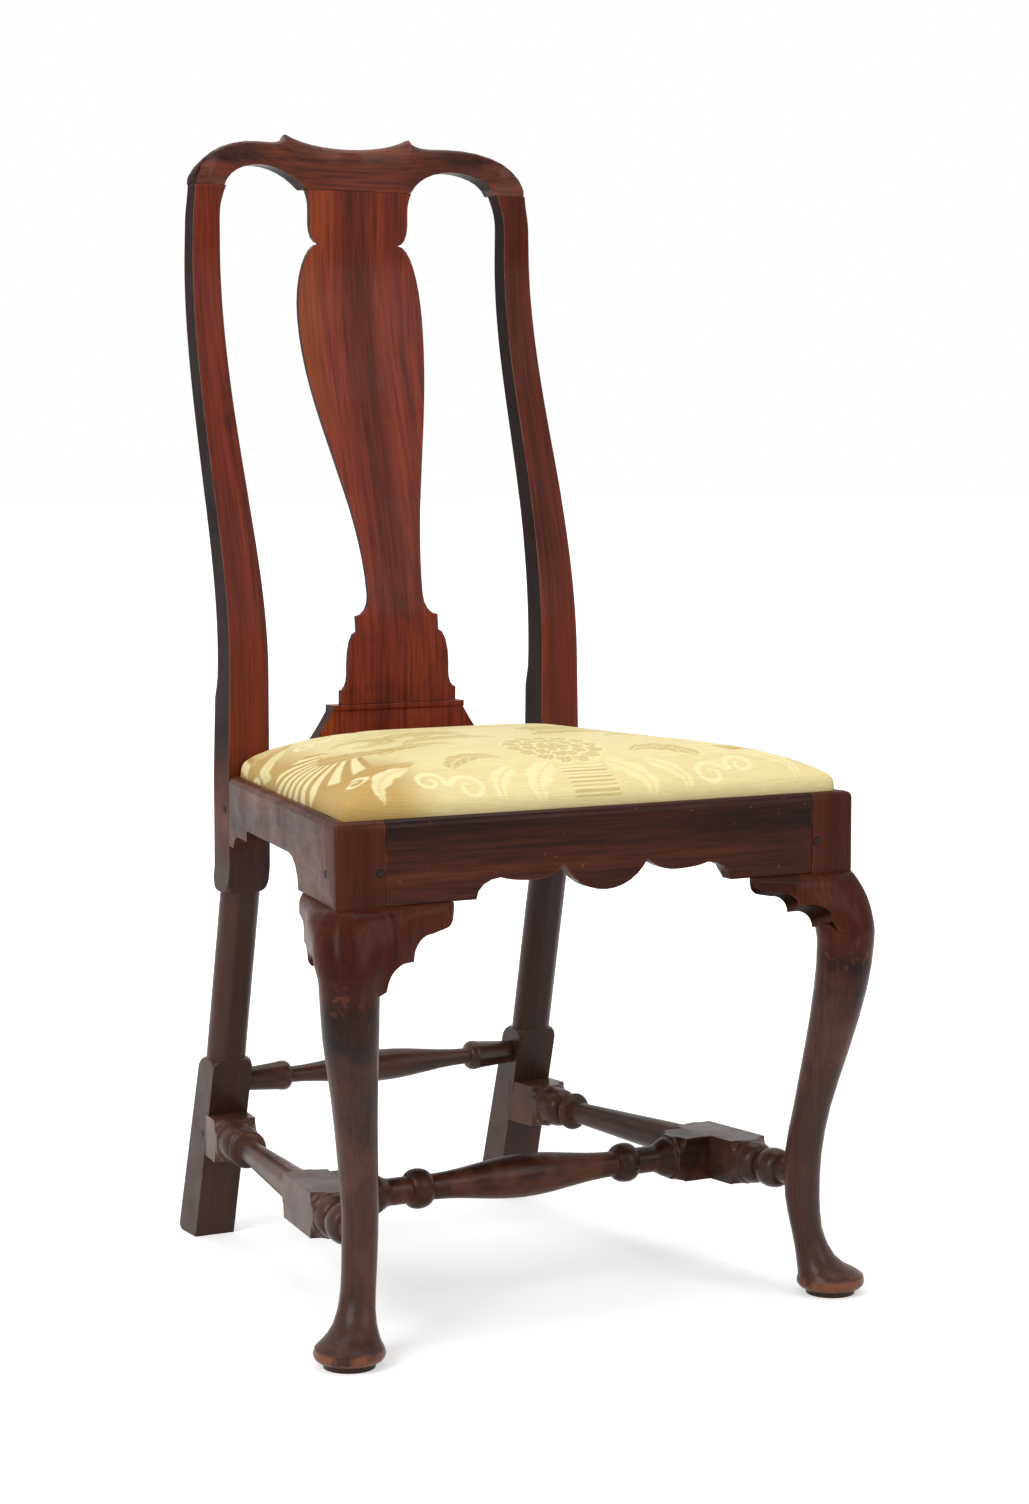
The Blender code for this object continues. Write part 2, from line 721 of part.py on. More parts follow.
def crest_rail():
    top = traced((0, CREST_DIP_RISE), (CREST_EAR_HALF, CREST_EAR_RISE, soft_first),
                 (CREST_COVE_END, CREST_SHOULDER_RISE, level_last),
                 (CREST_SHOULDER_HALF, CREST_SHOULDER_RISE, line), (POST_TOP_OUTER, 0, broad_first))
    arch = traced((0, 0), (CREST_ARCH_START, 0, line), (CREST_ARCH_MIDDLE, CREST_ARCH_RISE, soft_last),
                  (POST_TOP_INNER, 0, soft_first), (POST_TOP_OUTER, 0, line))
    stations = sorted({round(u, 3) for u, v in top + arch if u < POST_TOP_OUTER - CREST_END})
    stations.append(POST_TOP_OUTER - CREST_END)
    half = [crest_section(u, POST_TOP + height_at(arch, u), POST_TOP + height_at(top, u)) for u in stations]
    other = [[(-x, y, z) for x, y, z in ring] for ring in reversed(half[1:])]
    made = part("crest_rail", loft(other + half), BACK_WOOD)
    for side in (-1, 1):
        low, high = mirrored(side, *post_tenon())
        low.z -= REACH
        cut(made, tool(named(side, "crest_mortise"), grown(low, high)))
    cut(made, tool("splat_head_mortise", grown(*splat_head())))
    return made


# The seat frame


def rail_outer(y):
    """Half width of the seat frame at a distance from its front plane."""
    return SEAT_FRONT_HALF - SIDE_SLOPE * y


def side_prism(side, outline, low, high):
    """An outline of (y, z) made solid between two depths in from the slanted outer face of a side rail."""
    return prism(outline, low, high, lambda y, z, depth: (side * (rail_outer(y) - depth), y, z))


def side_tenon(side, start, end, gap):
    low = (RAIL_THICK - RAIL_TENON_THICK) / 2 - gap
    outline = [(start - gap, TENON_LOW - gap), (end + gap, TENON_LOW - gap),
               (end + gap, TENON_HIGH + gap), (start - gap, TENON_HIGH + gap)]
    return side_prism(side, outline, low, RAIL_THICK - low)


def side_tenons(side, gap):
    front = side_tenon(side, STUMP - SIDE_TENON_FRONT, STUMP + REACH, gap)
    rear = side_tenon(side, SEAT_DEPTH - REACH, SEAT_DEPTH + SIDE_TENON_REAR, gap)
    return front, rear


def front_tenon(side):
    inner = SEAT_FRONT_HALF - STUMP
    low = Vector((inner - REACH, RAIL_TENON_INSET, TENON_LOW))
    return mirrored(side, low, Vector((inner + FRONT_TENON, RAIL_TENON_INSET + RAIL_TENON_THICK, TENON_HIGH)))


def rear_tenon(side):
    front = SEAT_DEPTH + REAR_RAIL_FRONT + (REAR_RAIL_THICK - RAIL_TENON_THICK) / 2
    low = Vector((POST_INNER - REACH, front, TENON_LOW))
    return mirrored(side, low, Vector((POST_INNER + REAR_RAIL_TENON, front + RAIL_TENON_THICK, TENON_HIGH)))


def seat_well():
    """The recess that the slip seat drops into, open at the top."""
    inset = LIP * math.hypot(1, SIDE_SLOPE)
    rear = SEAT_DEPTH + REAR_RAIL_FRONT + REAR_LEDGE
    right = [(rail_outer(LIP) - inset, LIP), (rail_outer(rear) - inset, rear)]
    outline = right + [(-x, y) for x, y in reversed(right)]
    return prism(outline, REBATE_FLOOR, RAIL_TOP + REACH, lambda x, y, z: (x, y, z))


def front_seat_rail():
    end = SEAT_FRONT_HALF - STUMP - FIT
    apron = traced((0, 0), (APRON_LOBE_HALF, APRON_CUSP_RISE, soft_first),
                   (APRON_SWAG_MIDDLE, APRON_SWAG_RISE, soft_last),
                   (APRON_SWAG_END, APRON_COVE_RISE, soft_first), (APRON_COVE_END, 0, level_first),
                   (end, 0, line))
    rings = []
    for y, lift in ((0, 0), (APRON_EDGE, 0), (RAIL_THICK, APRON_UNDERCUT)):
        edge = [(x, y, RAIL_BOTTOM + rise + lift) for x, rise in apron]
        other = [(-x, y, z) for x, y, z in reversed(edge[1:])]
        rings.append(edge + [(end, y, RAIL_TOP), (-end, y, RAIL_TOP)] + other)
    shape = loft(rings)
    round_edges(shape, lambda co: co.z > RAIL_TOP - FIT and co.y < FIT, RAIL_ROUND)
    made = part("front_seat_rail", shape, FRAME_WOOD)
    join(made, *[tool(named(side, "front_rail_tenon"), box(*front_tenon(side))) for side in (-1, 1)])
    return made


def side_seat_rail(side):
    start = STUMP + FIT
    end = SEAT_DEPTH - FIT
    step = SEAT_DEPTH - SIDE_STEP_BACK
    foot = SEAT_DEPTH - SIDE_FOOT_BACK
    lower = traced((start, 0), (SIDE_COVE_START, 0, line), (SIDE_COVE_END, SIDE_ARCH_RISE, level_last),
                   (step, SIDE_ARCH_RISE, line), (step, SIDE_STEP_RISE, line),
                   (foot, SIDE_STEP_RISE, line), (foot + SIDE_FOOT_LONG, SIDE_FOOT_RISE, level_first),
                   (end, SIDE_FOOT_RISE, line))
    outline = [(y, RAIL_BOTTOM + rise) for y, rise in lower] + [(end, RAIL_TOP), (start, RAIL_TOP)]
    shape = side_prism(side, outline, 0, RAIL_THICK)
    round_edges(shape, lambda co: co.z > RAIL_TOP - FIT and side * co.x > rail_outer(co.y) - FIT, RAIL_ROUND)
    made = part(named(side, "seat_rail"), shape, FRAME_WOOD)
    front, rear = side_tenons(side, 0)
    join(made, tool(named(side, "side_rail_front_tenon"), front),
         tool(named(side, "side_rail_rear_tenon"), rear))
    return made


def rear_seat_rail():
    front = SEAT_DEPTH + REAR_RAIL_FRONT
    end = POST_INNER - FIT
    made = part("rear_seat_rail", box((-end, front, RAIL_TOP - REAR_RAIL_HEIGHT),
                                      (end, front + REAR_RAIL_THICK, RAIL_TOP)), FRAME_WOOD)
    join(made, *[tool(named(side, "rear_rail_tenon"), box(*rear_tenon(side))) for side in (-1, 1)])
    return made


def glue_block(side):
    """A corner block glued to the front rail, the leg's stump and the side rail."""
    front = RAIL_THICK + FIT
    inner = SEAT_FRONT_HALF - STUMP - FIT
    back = STUMP + FIT
    end = back + GLUE_BLOCK
    outline = [(inner - GLUE_BLOCK, front), (inner, front), (inner, back),
               (rail_outer(back) - RAIL_THICK - FIT, back), (rail_outer(end) - RAIL_THICK - FIT, end)]
    top = REBATE_FLOOR - GLUE_BLOCK_DROP
    shape = prism(outline, top - GLUE_BLOCK_HIGH, top, lambda x, y, z: (side * x, y, z))
    return part(named(side, "corner_block"), shape, INNER_WOOD)


# The front legs and their knee brackets


def foot_rows():
    """Round sections of the disc and of the pad's lower curve.

    Columns: height, outer and inner reach, half width, power of the outline, shift across the diagonal.
    """
    rows = [(0, DISC_RADIUS), (DISC_HIGH, DISC_RADIUS)]
    rows += traced((DISC_HIGH, DISC_RADIUS + FIT), (PAD_HEIGHT, PAD_RADIUS, level_last))
    return [(z, radius, -radius, radius, 2.0, 0.0) for z, radius in rows]


def leg_keys():
    """Sections of the cabriole curve from the pad to the knee, in the same columns.

    Heights are shares of the way from the floor to the ledge under the rail, reaches are in pad radii.
    """
    shares = [(PAD_HEIGHT / KNEE_TOP, 1, -1, 1, 2.0, 0)]
    shares += LEG_CURVE
    reach = PAD_RADIUS
    return [(z * KNEE_TOP, outer * reach, inner * reach, half * reach, power, shift * reach)
            for z, outer, inner, half, power, shift in shares]


def leg_rows():
    keys = leg_keys()
    return foot_rows()[:-1] + through(keys[:FOOT_KEYS], 1)[:-1] + through(keys[FOOT_KEYS - 1:], LEG_STEPS)


def leg_ring(side, row, gap):
    z, outer, inner, half, power, shift = row
    ring = []
    for step in range(LEG_POINTS):
        angle = step * 2 * math.pi / LEG_POINTS
        c, s = math.cos(angle), math.sin(angle)
        out = (outer - inner) / 2 + gap
        along = (outer + inner) / 2 + math.copysign(abs(c) ** (2 / power), c) * out
        across = shift + math.copysign(abs(s) ** (2 / power), s) * (half + gap)
        x = FOOT_X + (along + across) * math.sqrt(0.5)
        ring.append((side * x, FOOT_BACK + (across - along) * math.sqrt(0.5), z))
    return ring


def leg_shape(side, gap):
    return loft([leg_ring(side, row, gap) for row in leg_rows()])


def leg_middle(side, height):
    """The middle of a front leg at a height."""
    along = height_at([(row[0], (row[1] + row[2]) / 2) for row in leg_rows()], height)
    across = height_at([(row[0], row[5]) for row in leg_rows()], height)
    x = FOOT_X + (along + across) * math.sqrt(0.5)
    return Vector((side * x, FOOT_BACK + (across - along) * math.sqrt(0.5), height))


def stump_shape(side, gap, rounded):
    inner = SEAT_FRONT_HALF - STUMP - gap
    back = STUMP + gap
    outline = [(SEAT_FRONT_HALF + gap, -gap), (inner, -gap), (inner, back), (rail_outer(STUMP) + gap, back)]
    shape = prism(outline, RAIL_BOTTOM - STUMP_DOWN - gap, RAIL_TOP, lambda x, y, z: (side * x, y, z))
    if rounded:
        corner = Vector((side * SEAT_FRONT_HALF, 0, RAIL_TOP))
        meeting = [vert for vert in shape.verts if (vert.co - corner).length < FIT]
        bmesh.ops.bevel(shape, geom=meeting[0].link_edges[:], offset=RAIL_ROUND, segments=ROUND_STEPS,
                        profile=0.5, affect="EDGES")
    return shape


def front_leg(side):
    """A leg with the stump at its top, which is returned: the seat frame's mortises are cut in it."""
    made = part(named(side, "front_leg"), leg_shape(side, 0), LEG_WOOD)
    cut(made, tool(named(side, "leg_mortise"), leg_tenon(side, FIT)))
    stump = tool(named(side, "stump"), stump_shape(side, 0, True))
    join(made, stump)
    return stump


def bracket_rows():
    """Lower edge of a knee bracket: distance from the corner, depth below the rail."""
    foot = BRACKET_COVE_START - BRACKET_COVE_LONG - BRACKET_STEP_LONG
    return traced((BRACKET_START, BRACKET_FOOT_DROP), (foot - BRACKET_COVE_LONG, BRACKET_FOOT_DROP, line),
                  (foot, BRACKET_STEP_DROP, level_last),
                  (BRACKET_COVE_START - BRACKET_COVE_LONG, BRACKET_STEP_DROP, line),
                  (BRACKET_COVE_START, BRACKET_FLAT_DROP, level_last),
                  (BRACKET_REACH - BRACKET_NOSE_LONG, BRACKET_NOSE_DROP, line),
                  (BRACKET_REACH, BRACKET_NOSE_TIP, level_first))


def bracket_ring(distance, depth):
    """Points (out, down) of a bracket's section, proud of the rail near the knee and rounded at its front."""
    share = eased(BRACKET_START, BRACKET_REACH, distance)
    proud = BRACKET_BULGE + (BRACKET_TIP_PROUD - BRACKET_BULGE) * share
    back = BRACKET_THICK + (BRACKET_TIP_THICK - BRACKET_THICK) * share
    turn = min(BRACKET_ROUND, depth / 3)
    under = min(BRACKET_EDGE, depth / 4)
    low = proud - BRACKET_LEAN * (depth - under - turn)
    return [(proud - turn, 0), (proud - turn * 0.3, turn * 0.3), (proud, turn), (low, depth - under),
            (low - under * 0.3, depth - under * 0.3), (low - under, depth), (-back, depth), (-back, 0)]


def knee_bracket(name, side, heading, outward):
    corner = Vector((side * SEAT_FRONT_HALF, 0, RAIL_BOTTOM - FIT))
    rings = []
    for distance, depth in bracket_rows():
        ring = bracket_ring(distance, depth)
        rings.append([corner + heading * distance + outward * out - UP * down for out, down in ring])
    return part(named(side, name), loft(rings), LEG_WOOD)


# The stretchers


def beam(start, heading, low, high):
    """A straight piece of square section along a level heading: corners of (distance, across, up)."""
    across = heading.cross(UP)
    rings = []
    for distance in (low[0], high[0]):
        corners = [(low[1], low[2]), (high[1], low[2]), (high[1], high[2]), (low[1], high[2])]
        rings.append([start + heading * distance + across * u + UP * v for u, v in corners])
    return loft(rings)


def stretcher_line(side):
    """Start, heading and length of a side stretcher, from the middle of a front leg to a rear post's face."""
    start = leg_middle(side, STRETCHER_HEIGHT)
    end = Vector((side * (POST_INNER + LOWER_BLOCK_WIDE / 2), post_front(STRETCHER_HEIGHT), STRETCHER_HEIGHT))
    return start, (end - start).normalized(), (end - start).length


def side_rows(length):
    """Distances and radii of a side stretcher: bead, cup, block, taper, ring, bulb and rear block."""
    rear = length - SIDE_REAR_BLOCK
    return traced((LEG_TENON_RADIUS, SIDE_NECK), (SIDE_NECK_END, SIDE_NECK, line),
                  (SIDE_BEAD_AT, SIDE_BEAD, level_last), (SIDE_REEL_START, SIDE_REEL, level_first),
                  (SIDE_REEL_END, SIDE_REEL, line), (SIDE_BLOCK_START - SIDE_CUP_EDGE, SIDE_CUP, level_last),
                  (SIDE_BLOCK_START + SIDE_CORNER_RUN, BLOCK_CORNER, line),
                  (SIDE_BLOCK_END - SIDE_CUP_EDGE, BLOCK_CORNER, line),
                  (SIDE_BLOCK_END, SIDE_TAPER, level_first),
                  (rear - SIDE_RING_AT - SIDE_RING_HALF, SIDE_TAPER_END, line),
                  (rear - SIDE_RING_AT, SIDE_BEAD, level_last),
                  (rear - SIDE_RING_AT + SIDE_RING_HALF, SIDE_NECK, level_first),
                  (rear - SIDE_RING_NECK_END, SIDE_NECK, line), (rear - SIDE_BULB_AT, SIDE_BULB, level_last),
                  (rear - SIDE_CUP_EDGE, SIDE_CUP, line), (rear + SIDE_REAR_CORNER_RUN, BLOCK_CORNER, line))


def post_tenon_beam(side, gap):
    start, heading, length = stretcher_line(side)
    wide = SIDE_POST_TENON_WIDE / 2 + gap
    high = SIDE_POST_TENON_HIGH / 2 + gap
    return beam(start, heading, (length - REACH, -wide, -high), (length + SIDE_POST_TENON + gap, wide, high))


def leg_tenon(side, gap):
    start, heading, length = stretcher_line(side)
    end = start + heading * (SIDE_BLOCK_START / 2)
    return rod(start + heading * (LEG_TENON_END - gap), end, LEG_TENON_RADIUS + gap)


def side_stretcher(side):
    start, heading, length = stretcher_line(side)
    across = heading.cross(UP)
    half = STRETCHER_BLOCK / 2
    rings = []
    for distance, radius in side_rows(length):
        middle = start + heading * distance
        rings.append([middle + across * u + UP * v for u, v in section(half, half, radius)])
    end = []
    for u, v in section(half, half, BLOCK_CORNER):
        beside = start + across * u + UP * v
        reach = (post_front(beside.z) - FIT - beside.y) / heading.y
        end.append(beside + heading * reach)
    made = part(named(side, "side_stretcher"), loft(rings + [end]), LEG_WOOD)
    cut(made, tool(named(side, "leg_room"), leg_shape(side, FIT)))
    join(made, tool(named(side, "leg_tenon"), leg_tenon(side, 0)))
    join(made, tool(named(side, "post_tenon_beam"), post_tenon_beam(side, 0)))
    return made


def medial_end(y):
    """Half length of the medial stretcher at a depth, up to the inner face of the side stretchers' blocks."""
    start, heading, length = stretcher_line(1)
    return start.x - (STRETCHER_BLOCK / 2 + FIT - heading.x * (y - start.y)) / heading.y


def medial_depth():
    start, heading, length = stretcher_line(1)
    return start.y + heading.y * MEDIAL_ALONG


def medial_rows(half):
    """Distances and radii of half of the medial stretcher: baluster, ball, reel, cup and block."""
    return traced((0, MEDIAL_BELLY), (half - MEDIAL_NECK_IN, MEDIAL_NECK, wave),
                  (half - MEDIAL_BALL_IN, MEDIAL_BALL, level_last),
                  (half - MEDIAL_REEL_IN, MEDIAL_REEL, level_first),
                  (half - MEDIAL_REEL_END, MEDIAL_REEL, line),
                  (half - MEDIAL_CUP_IN, MEDIAL_CUP, wave),
                  (half - MEDIAL_BLOCK + MEDIAL_CORNER_RUN, BLOCK_CORNER, line))


def medial_tenon(side, gap):
    y = medial_depth()
    half = medial_end(y)
    start = (side * (half - REACH), y, STRETCHER_HEIGHT)
    return rod(start, (side * (half + MEDIAL_TENON + gap), y, STRETCHER_HEIGHT), MEDIAL_TENON_RADIUS + gap)


def medial_stretcher():
    y = medial_depth()
    half = STRETCHER_BLOCK / 2
    right = []
    for distance, radius in medial_rows(medial_end(y)):
        right.append([(distance, y + u, STRETCHER_HEIGHT + v) for u, v in section(half, half, radius)])
    last = section(half, half, BLOCK_CORNER)
    right.append([(medial_end(y + u), y + u, STRETCHER_HEIGHT + v) for u, v in last])
    left = [[(-px, py, pz) for px, py, pz in ring] for ring in reversed(right[1:])]
    made = part("medial_stretcher", loft(left + right), LEG_WOOD)
    join(made, *[tool(named(side, "medial_tenon"), medial_tenon(side, 0)) for side in (-1, 1)])
    return made


def rear_stretcher():
    """A turned piece with round tenons, made by turning its profile round its own axis."""
    end = POST_INNER - FIT
    tip = POST_INNER + REAR_STRETCHER_TENON
    half = traced((0, REAR_BELLY), (end - REAR_NECK_IN, REAR_NECK, wave),
                  (end - REAR_BEAD_IN, REAR_BEAD, level_last),
                  (end - REAR_FLANGE_IN, REAR_FLANGE, level_first), (end, REAR_END, line),
                  (end, REAR_STRETCHER_TENON_RADIUS, line), (tip, REAR_STRETCHER_TENON_RADIUS, line),
                  (tip, 0, line))
    profile = [(radius, distance) for distance, radius in reversed(half)]
    profile += [(radius, -distance) for distance, radius in half[1:]]
    shape = bmesh.new()
    verts = [shape.verts.new((radius, 0, distance)) for radius, distance in profile]
    for first, second in zip(verts, verts[1:]):
        shape.edges.new((first, second))
    mesh = bpy.data.meshes.new("rear_stretcher")
    shape.to_mesh(mesh)
    shape.free()
    made = bpy.data.objects.new("rear_stretcher", mesh)
    chair.objects.link(made)
    made.parent = root
    made.location = rear_stretcher_middle()
    made.rotation_euler = (0, math.pi / 2, 0)
    turning = made.modifiers.new("turning", "SCREW")
    turning.steps = turning.render_steps = 4 * PER_SIDE
    turning.use_merge_vertices = True
    turning.merge_threshold = 0.0001
    turning.use_smooth_shade = True
    mesh.materials.append(LEG_WOOD)
    return made


def rear_stretcher_middle():
    z = REAR_STRETCHER_HEIGHT
    return Vector((0, post_front(z) + post_deep(z) / 2, z))


def rear_stretcher_mortise(side):
    middle = rear_stretcher_middle()
    start = middle + Vector((side * (POST_INNER - REACH), 0, 0))
    end = middle + Vector((side * (POST_INNER + REAR_STRETCHER_TENON + FIT), 0, 0))
    return rod(start, end, REAR_STRETCHER_TENON_RADIUS + FIT)


def pin(name, side, mouth, heading, *held):
    """A peg driven in at mouth along heading, through each of the held pieces."""
    mouth = Vector(mouth)
    end = mouth + heading * PIN_LONG
    hole = rod(mouth - heading * REACH, end + heading * FIT, PIN_RADIUS + FIT, PIN_POINTS)
    cutter = tool(named(side, name + "_hole"), hole)
    for piece in held:
        cut(piece, cutter)
    return part(named(side, name), rod(mouth - heading * PIN_PROUD, end, PIN_RADIUS, PIN_POINTS), PIN_WOOD)


# The slip seat


def slip_corners(inset):
    """Plan of the slip seat, a distance in from the recess and the posts, from the front right corner."""
    slant = math.hypot(1, SIDE_SLOPE)
    front = LIP + inset
    notch = SEAT_DEPTH - inset
    tongue = POST_INNER - inset
    rear = SEAT_DEPTH + REAR_RAIL_FRONT + REAR_LEDGE - inset
    right = [(rail_outer(front) - front * slant, front), (rail_outer(notch) - front * slant, notch),
             (tongue, notch), (tongue, rear)]
    return right + [(-x, y) for x, y in reversed(right)]


def sampled(inset, pull):
    """Points along the slip seat's plan, as many at each inset; its sides are drawn in by up to pull."""
    corners = slip_corners(inset)
    spread = slip_corners(SLIP_INSET)
    points = []
    for i, (ax, ay) in enumerate(corners):
        bx, by = corners[(i + 1) % len(corners)]
        steps = max(1, round(math.dist(spread[i], spread[(i + 1) % len(spread)]) / OUTLINE_STEP))
        run = math.hypot(bx - ax, by - ay)
        for step in range(steps):
            t = step / steps
            inward = pull * math.sin(math.pi * t) * min(1.0, run / SEAT_DEPTH) / run
            points.append((ax + (bx - ax) * t - (by - ay) * inward, ay + (by - ay) * t + (bx - ax) * inward))
    return points


def flat(corners, low, high):
    return prism(corners, low, high, lambda x, y, z: (x, y, z))


def crown_rings(inset, lift):
    """Rings of the crowned top, from its edge to near its middle."""
    rings = []
    edge = sampled(inset, DRAWN_IN)
    middle = SEAT_DEPTH / 2 + CROWN_PEAK_BACK
    for step in range(CROWN_RINGS + 1):
        share = 1 - CROWN_SPREAD * (step / CROWN_RINGS) ** CROWN_CROWDING
        z = STUFFING_BASE + lift + CROWN_RISE * (1 - share ** CROWN_POWER)
        rings.append([(x * share, middle + (y - middle) * share, z) for x, y in edge])
    return rings


def level_ring(inset, z):
    return [(x, y, z) for x, y in sampled(inset, 0)]


def slip_frame():
    """Four slats, half lapped at their corners."""
    low = SLIP_FRAME_LOW
    high = low + SLIP_FRAME_THICK
    middle = (low + high) / 2
    corners = slip_corners(SLIP_INSET)
    front_y = corners[0][1]
    notch_y = corners[1][1]
    rear_y = corners[3][1]

    def side_x(y):
        return rail_outer(y) - front_y * math.hypot(1, SIDE_SLOPE)

    def band(side, gap):
        start = front_y - gap
        end = notch_y + gap
        rows = [(side_x(start) + gap, start), (side_x(end) + gap, end),
                (side_x(end) - SLIP_FRAME_WIDE - gap, end), (side_x(start) - SLIP_FRAME_WIDE - gap, start)]
        return [(side * x, y) for x, y in rows]

    def front_band(gap):
        end = front_y + SLIP_FRAME_WIDE + gap
        right = [(side_x(front_y) + gap, front_y - gap), (side_x(end) + gap, end)]
        return right + [(-x, y) for x, y in reversed(right)]

    def rear_band(gap):
        start = notch_y - SLIP_FRAME_WIDE - gap
        tongue = corners[2][0] + gap
        right = [(side_x(start) + gap, start), (side_x(notch_y) + gap, notch_y + gap),
                 (tongue, notch_y + gap), (tongue, rear_y + gap)]
        return right + [(-x, y) for x, y in reversed(right)]

    front = part("slip_front_slat", flat(front_band(0), low, high), INNER_WOOD, slip_root)
    rear = part("slip_rear_slat", flat(rear_band(0), low, high), INNER_WOOD, slip_root)
    laps = [tool("front_lap", flat(front_band(FIT), middle - FIT / 2, high + REACH)),
            tool("rear_lap", flat(rear_band(FIT), middle - FIT / 2, high + REACH))]
    for side in (-1, 1):
        slat = part(named(side, "slip_side_slat"), flat(band(side, 0), low, high), INNER_WOOD, slip_root)
        cut(slat, *laps)
        lap = tool(named(side, "side_lap"), flat(band(side, FIT), low - REACH, middle + FIT / 2))
        cut(front, lap)
        cut(rear, lap)


def web_places(low, high):
    return [low + (high - low) * (i + 1) / (WEB_COUNT + 1) for i in range(WEB_COUNT)]


def web_strip(name, start, end, crossings, sign, place):
    """A strip that goes over and under the strips it crosses."""
    rows = [(start, 0)]
    for crossing in crossings:
        rows += [(crossing - WEB_WIDE / 2, sign), (crossing + WEB_WIDE / 2, sign)]
        sign = -sign
    rows.append((end, 0))
    half = WEB_WIDE / 2
    rings = []
    for distance, level in rows:
        z = WEB_MIDDLE + level * WEB_SWING
        under = z - WEB_THICK / 2
        over = z + WEB_THICK / 2
        corners = [(-half, under), (half, under), (half, over), (-half, over)]
        rings.append([place(distance, u, height) for u, height in corners])
    return part(name, loft(rings), WEBBING, slip_root)


def webbing():
    corners = slip_corners(SLIP_INSET)
    front = corners[0][1]
    rear = corners[1][1]
    half = corners[1][0]
    depths = web_places(front, rear)
    spans = web_places(-half, half)
    for i, x in enumerate(spans):
        web_strip(f"web_lengthwise_{i + 1}", front + WEB_END, rear - WEB_END, depths, 1 - 2 * (i % 2),
                  lambda distance, u, z, x=x: (x + u, distance, z))
    for i, y in enumerate(depths):
        reach = rail_outer(y + WEB_WIDE / 2) - front * math.hypot(1, SIDE_SLOPE) - WEB_END
        web_strip(f"web_crosswise_{i + 1}", -reach, reach, spans, 2 * (i % 2) - 1,
                  lambda distance, u, z, y=y: (distance, y + u, z))


def stuffing():
    rings = [level_ring(SLIP_INSET, STUFFING_BASE)] + crown_rings(SLIP_INSET, COVER_THICK)
    return part("hair_stuffing", loft(rings), HAIR, slip_root)


def cover():
    """The damask, drawn over the stuffing and turned under the slats, open below."""
    inside = SLIP_INSET - FIT
    outside = inside - COVER_THICK
    bottom = SLIP_FRAME_LOW - FIT
    rings = list(reversed(crown_rings(outside, 2 * COVER_THICK + FIT)))
    rings.append(level_ring(outside, STUFFING_BASE))
    rings.append(level_ring(outside, bottom - COVER_THICK))
    rings.append(level_ring(SLIP_INSET + COVER_UNDER, bottom - COVER_THICK))
    rings.append(level_ring(SLIP_INSET + COVER_UNDER, bottom))
    rings.append(level_ring(inside, bottom))
    rings.append(level_ring(inside, STUFFING_BASE))
    rings += crown_rings(inside, COVER_THICK + FIT)
    return part("seat_cover", loft(rings), DAMASK, slip_root)


# Assembly

well = tool("seat_well", seat_well())
crest_rail()
splat()
splat_shoe()
front_rail = front_seat_rail()
back_rail = rear_seat_rail()
medial_stretcher()
rear_stretcher()
cut(front_rail, well)
cut(back_rail, well)

for side in (-1, 1):
    post = rear_post(side)
    stump = front_leg(side)
    rail = side_seat_rail(side)
    stretcher = side_stretcher(side)
    glue_block(side)
    inward = Vector((-side, 0, 0))
    slant = Vector((-side * SIDE_SLOPE, 1, 0)).normalized()
    front_bracket = knee_bracket("front_knee_bracket", side, inward, Vector((0, -1, 0)))
    side_bracket = knee_bracket("side_knee_bracket", side, slant, slant.cross(UP) * side)

    cut(rail, well)
    cut(stump, well)
    room = bpy.data.objects[named(side, "leg_room")]
    stump_room = tool(named(side, "stump_room"), stump_shape(side, FIT, False))
    for bracket in (front_bracket, side_bracket):
        cut(bracket, room, stump_room)
    front_mortise, rear_mortise = side_tenons(side, FIT)
    cut(stump, tool(named(side, "front_rail_mortise"), grown(*front_tenon(side))),
        tool(named(side, "side_rail_mortise"), front_mortise))
    cut(post, tool(named(side, "post_rail_mortise"), rear_mortise),
        tool(named(side, "rear_rail_mortise"), grown(*rear_tenon(side))),
        tool(named(side, "post_stretcher_mortise"), post_tenon_beam(side, FIT)),
        tool(named(side, "rear_stretcher_mortise"), rear_stretcher_mortise(side)))
    cut(stretcher, tool(named(side, "medial_mortise"), medial_tenon(side, FIT)))

    pin("front_rail_pin", side, (side * (SEAT_FRONT_HALF - FRONT_PIN_IN), 0, RAIL_BOTTOM + FRONT_PIN_RISE),
        Vector((0, 1, 0)), stump, front_rail)
    pin("side_rail_pin", side, (side * rail_outer(SIDE_PIN_BACK), SIDE_PIN_BACK, RAIL_BOTTOM + SIDE_PIN_RISE),
        inward, stump, rail)
    pin("post_pin", side, (side * SEAT_REAR_HALF, SEAT_DEPTH + POST_PIN_BACK, RAIL_BOTTOM + POST_PIN_RISE),
        inward, post, rail)
    pin("stretcher_pin", side, (side * (POST_INNER + LOWER_BLOCK_WIDE),
                                post_front(STRETCHER_HEIGHT) + STRETCHER_PIN_BACK, STRETCHER_HEIGHT),
        inward, post, stretcher)

slip_frame()
webbing()
part("hessian_underlay", flat(slip_corners(SLIP_INSET + UNDERLAY_INSET), UNDERLAY_LOW,
                              UNDERLAY_LOW + UNDERLAY_THICK), HESSIAN, slip_root)
stuffing()
cover()

# The origin goes under the middle of the chair's box
bpy.context.view_layer.update()
graph = bpy.context.evaluated_depsgraph_get()
depths = []
for made in chair.objects:
    if made.type == "MESH":
        shown = made.evaluated_get(graph)
        depths += [(shown.matrix_world @ Vector(corner)).y for corner in shown.bound_box]
root.location.y = -(min(depths) + max(depths)) / 2
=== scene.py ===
"""Looks of the side chair.

Worn varnished wood, a silk damask slip seat, a pale floor and the photograph's camera.
"""

import json
import math

import bmesh
import bpy
import numpy as np
from mathutils import Matrix, Vector
from mathutils.bvhtree import BVHTree

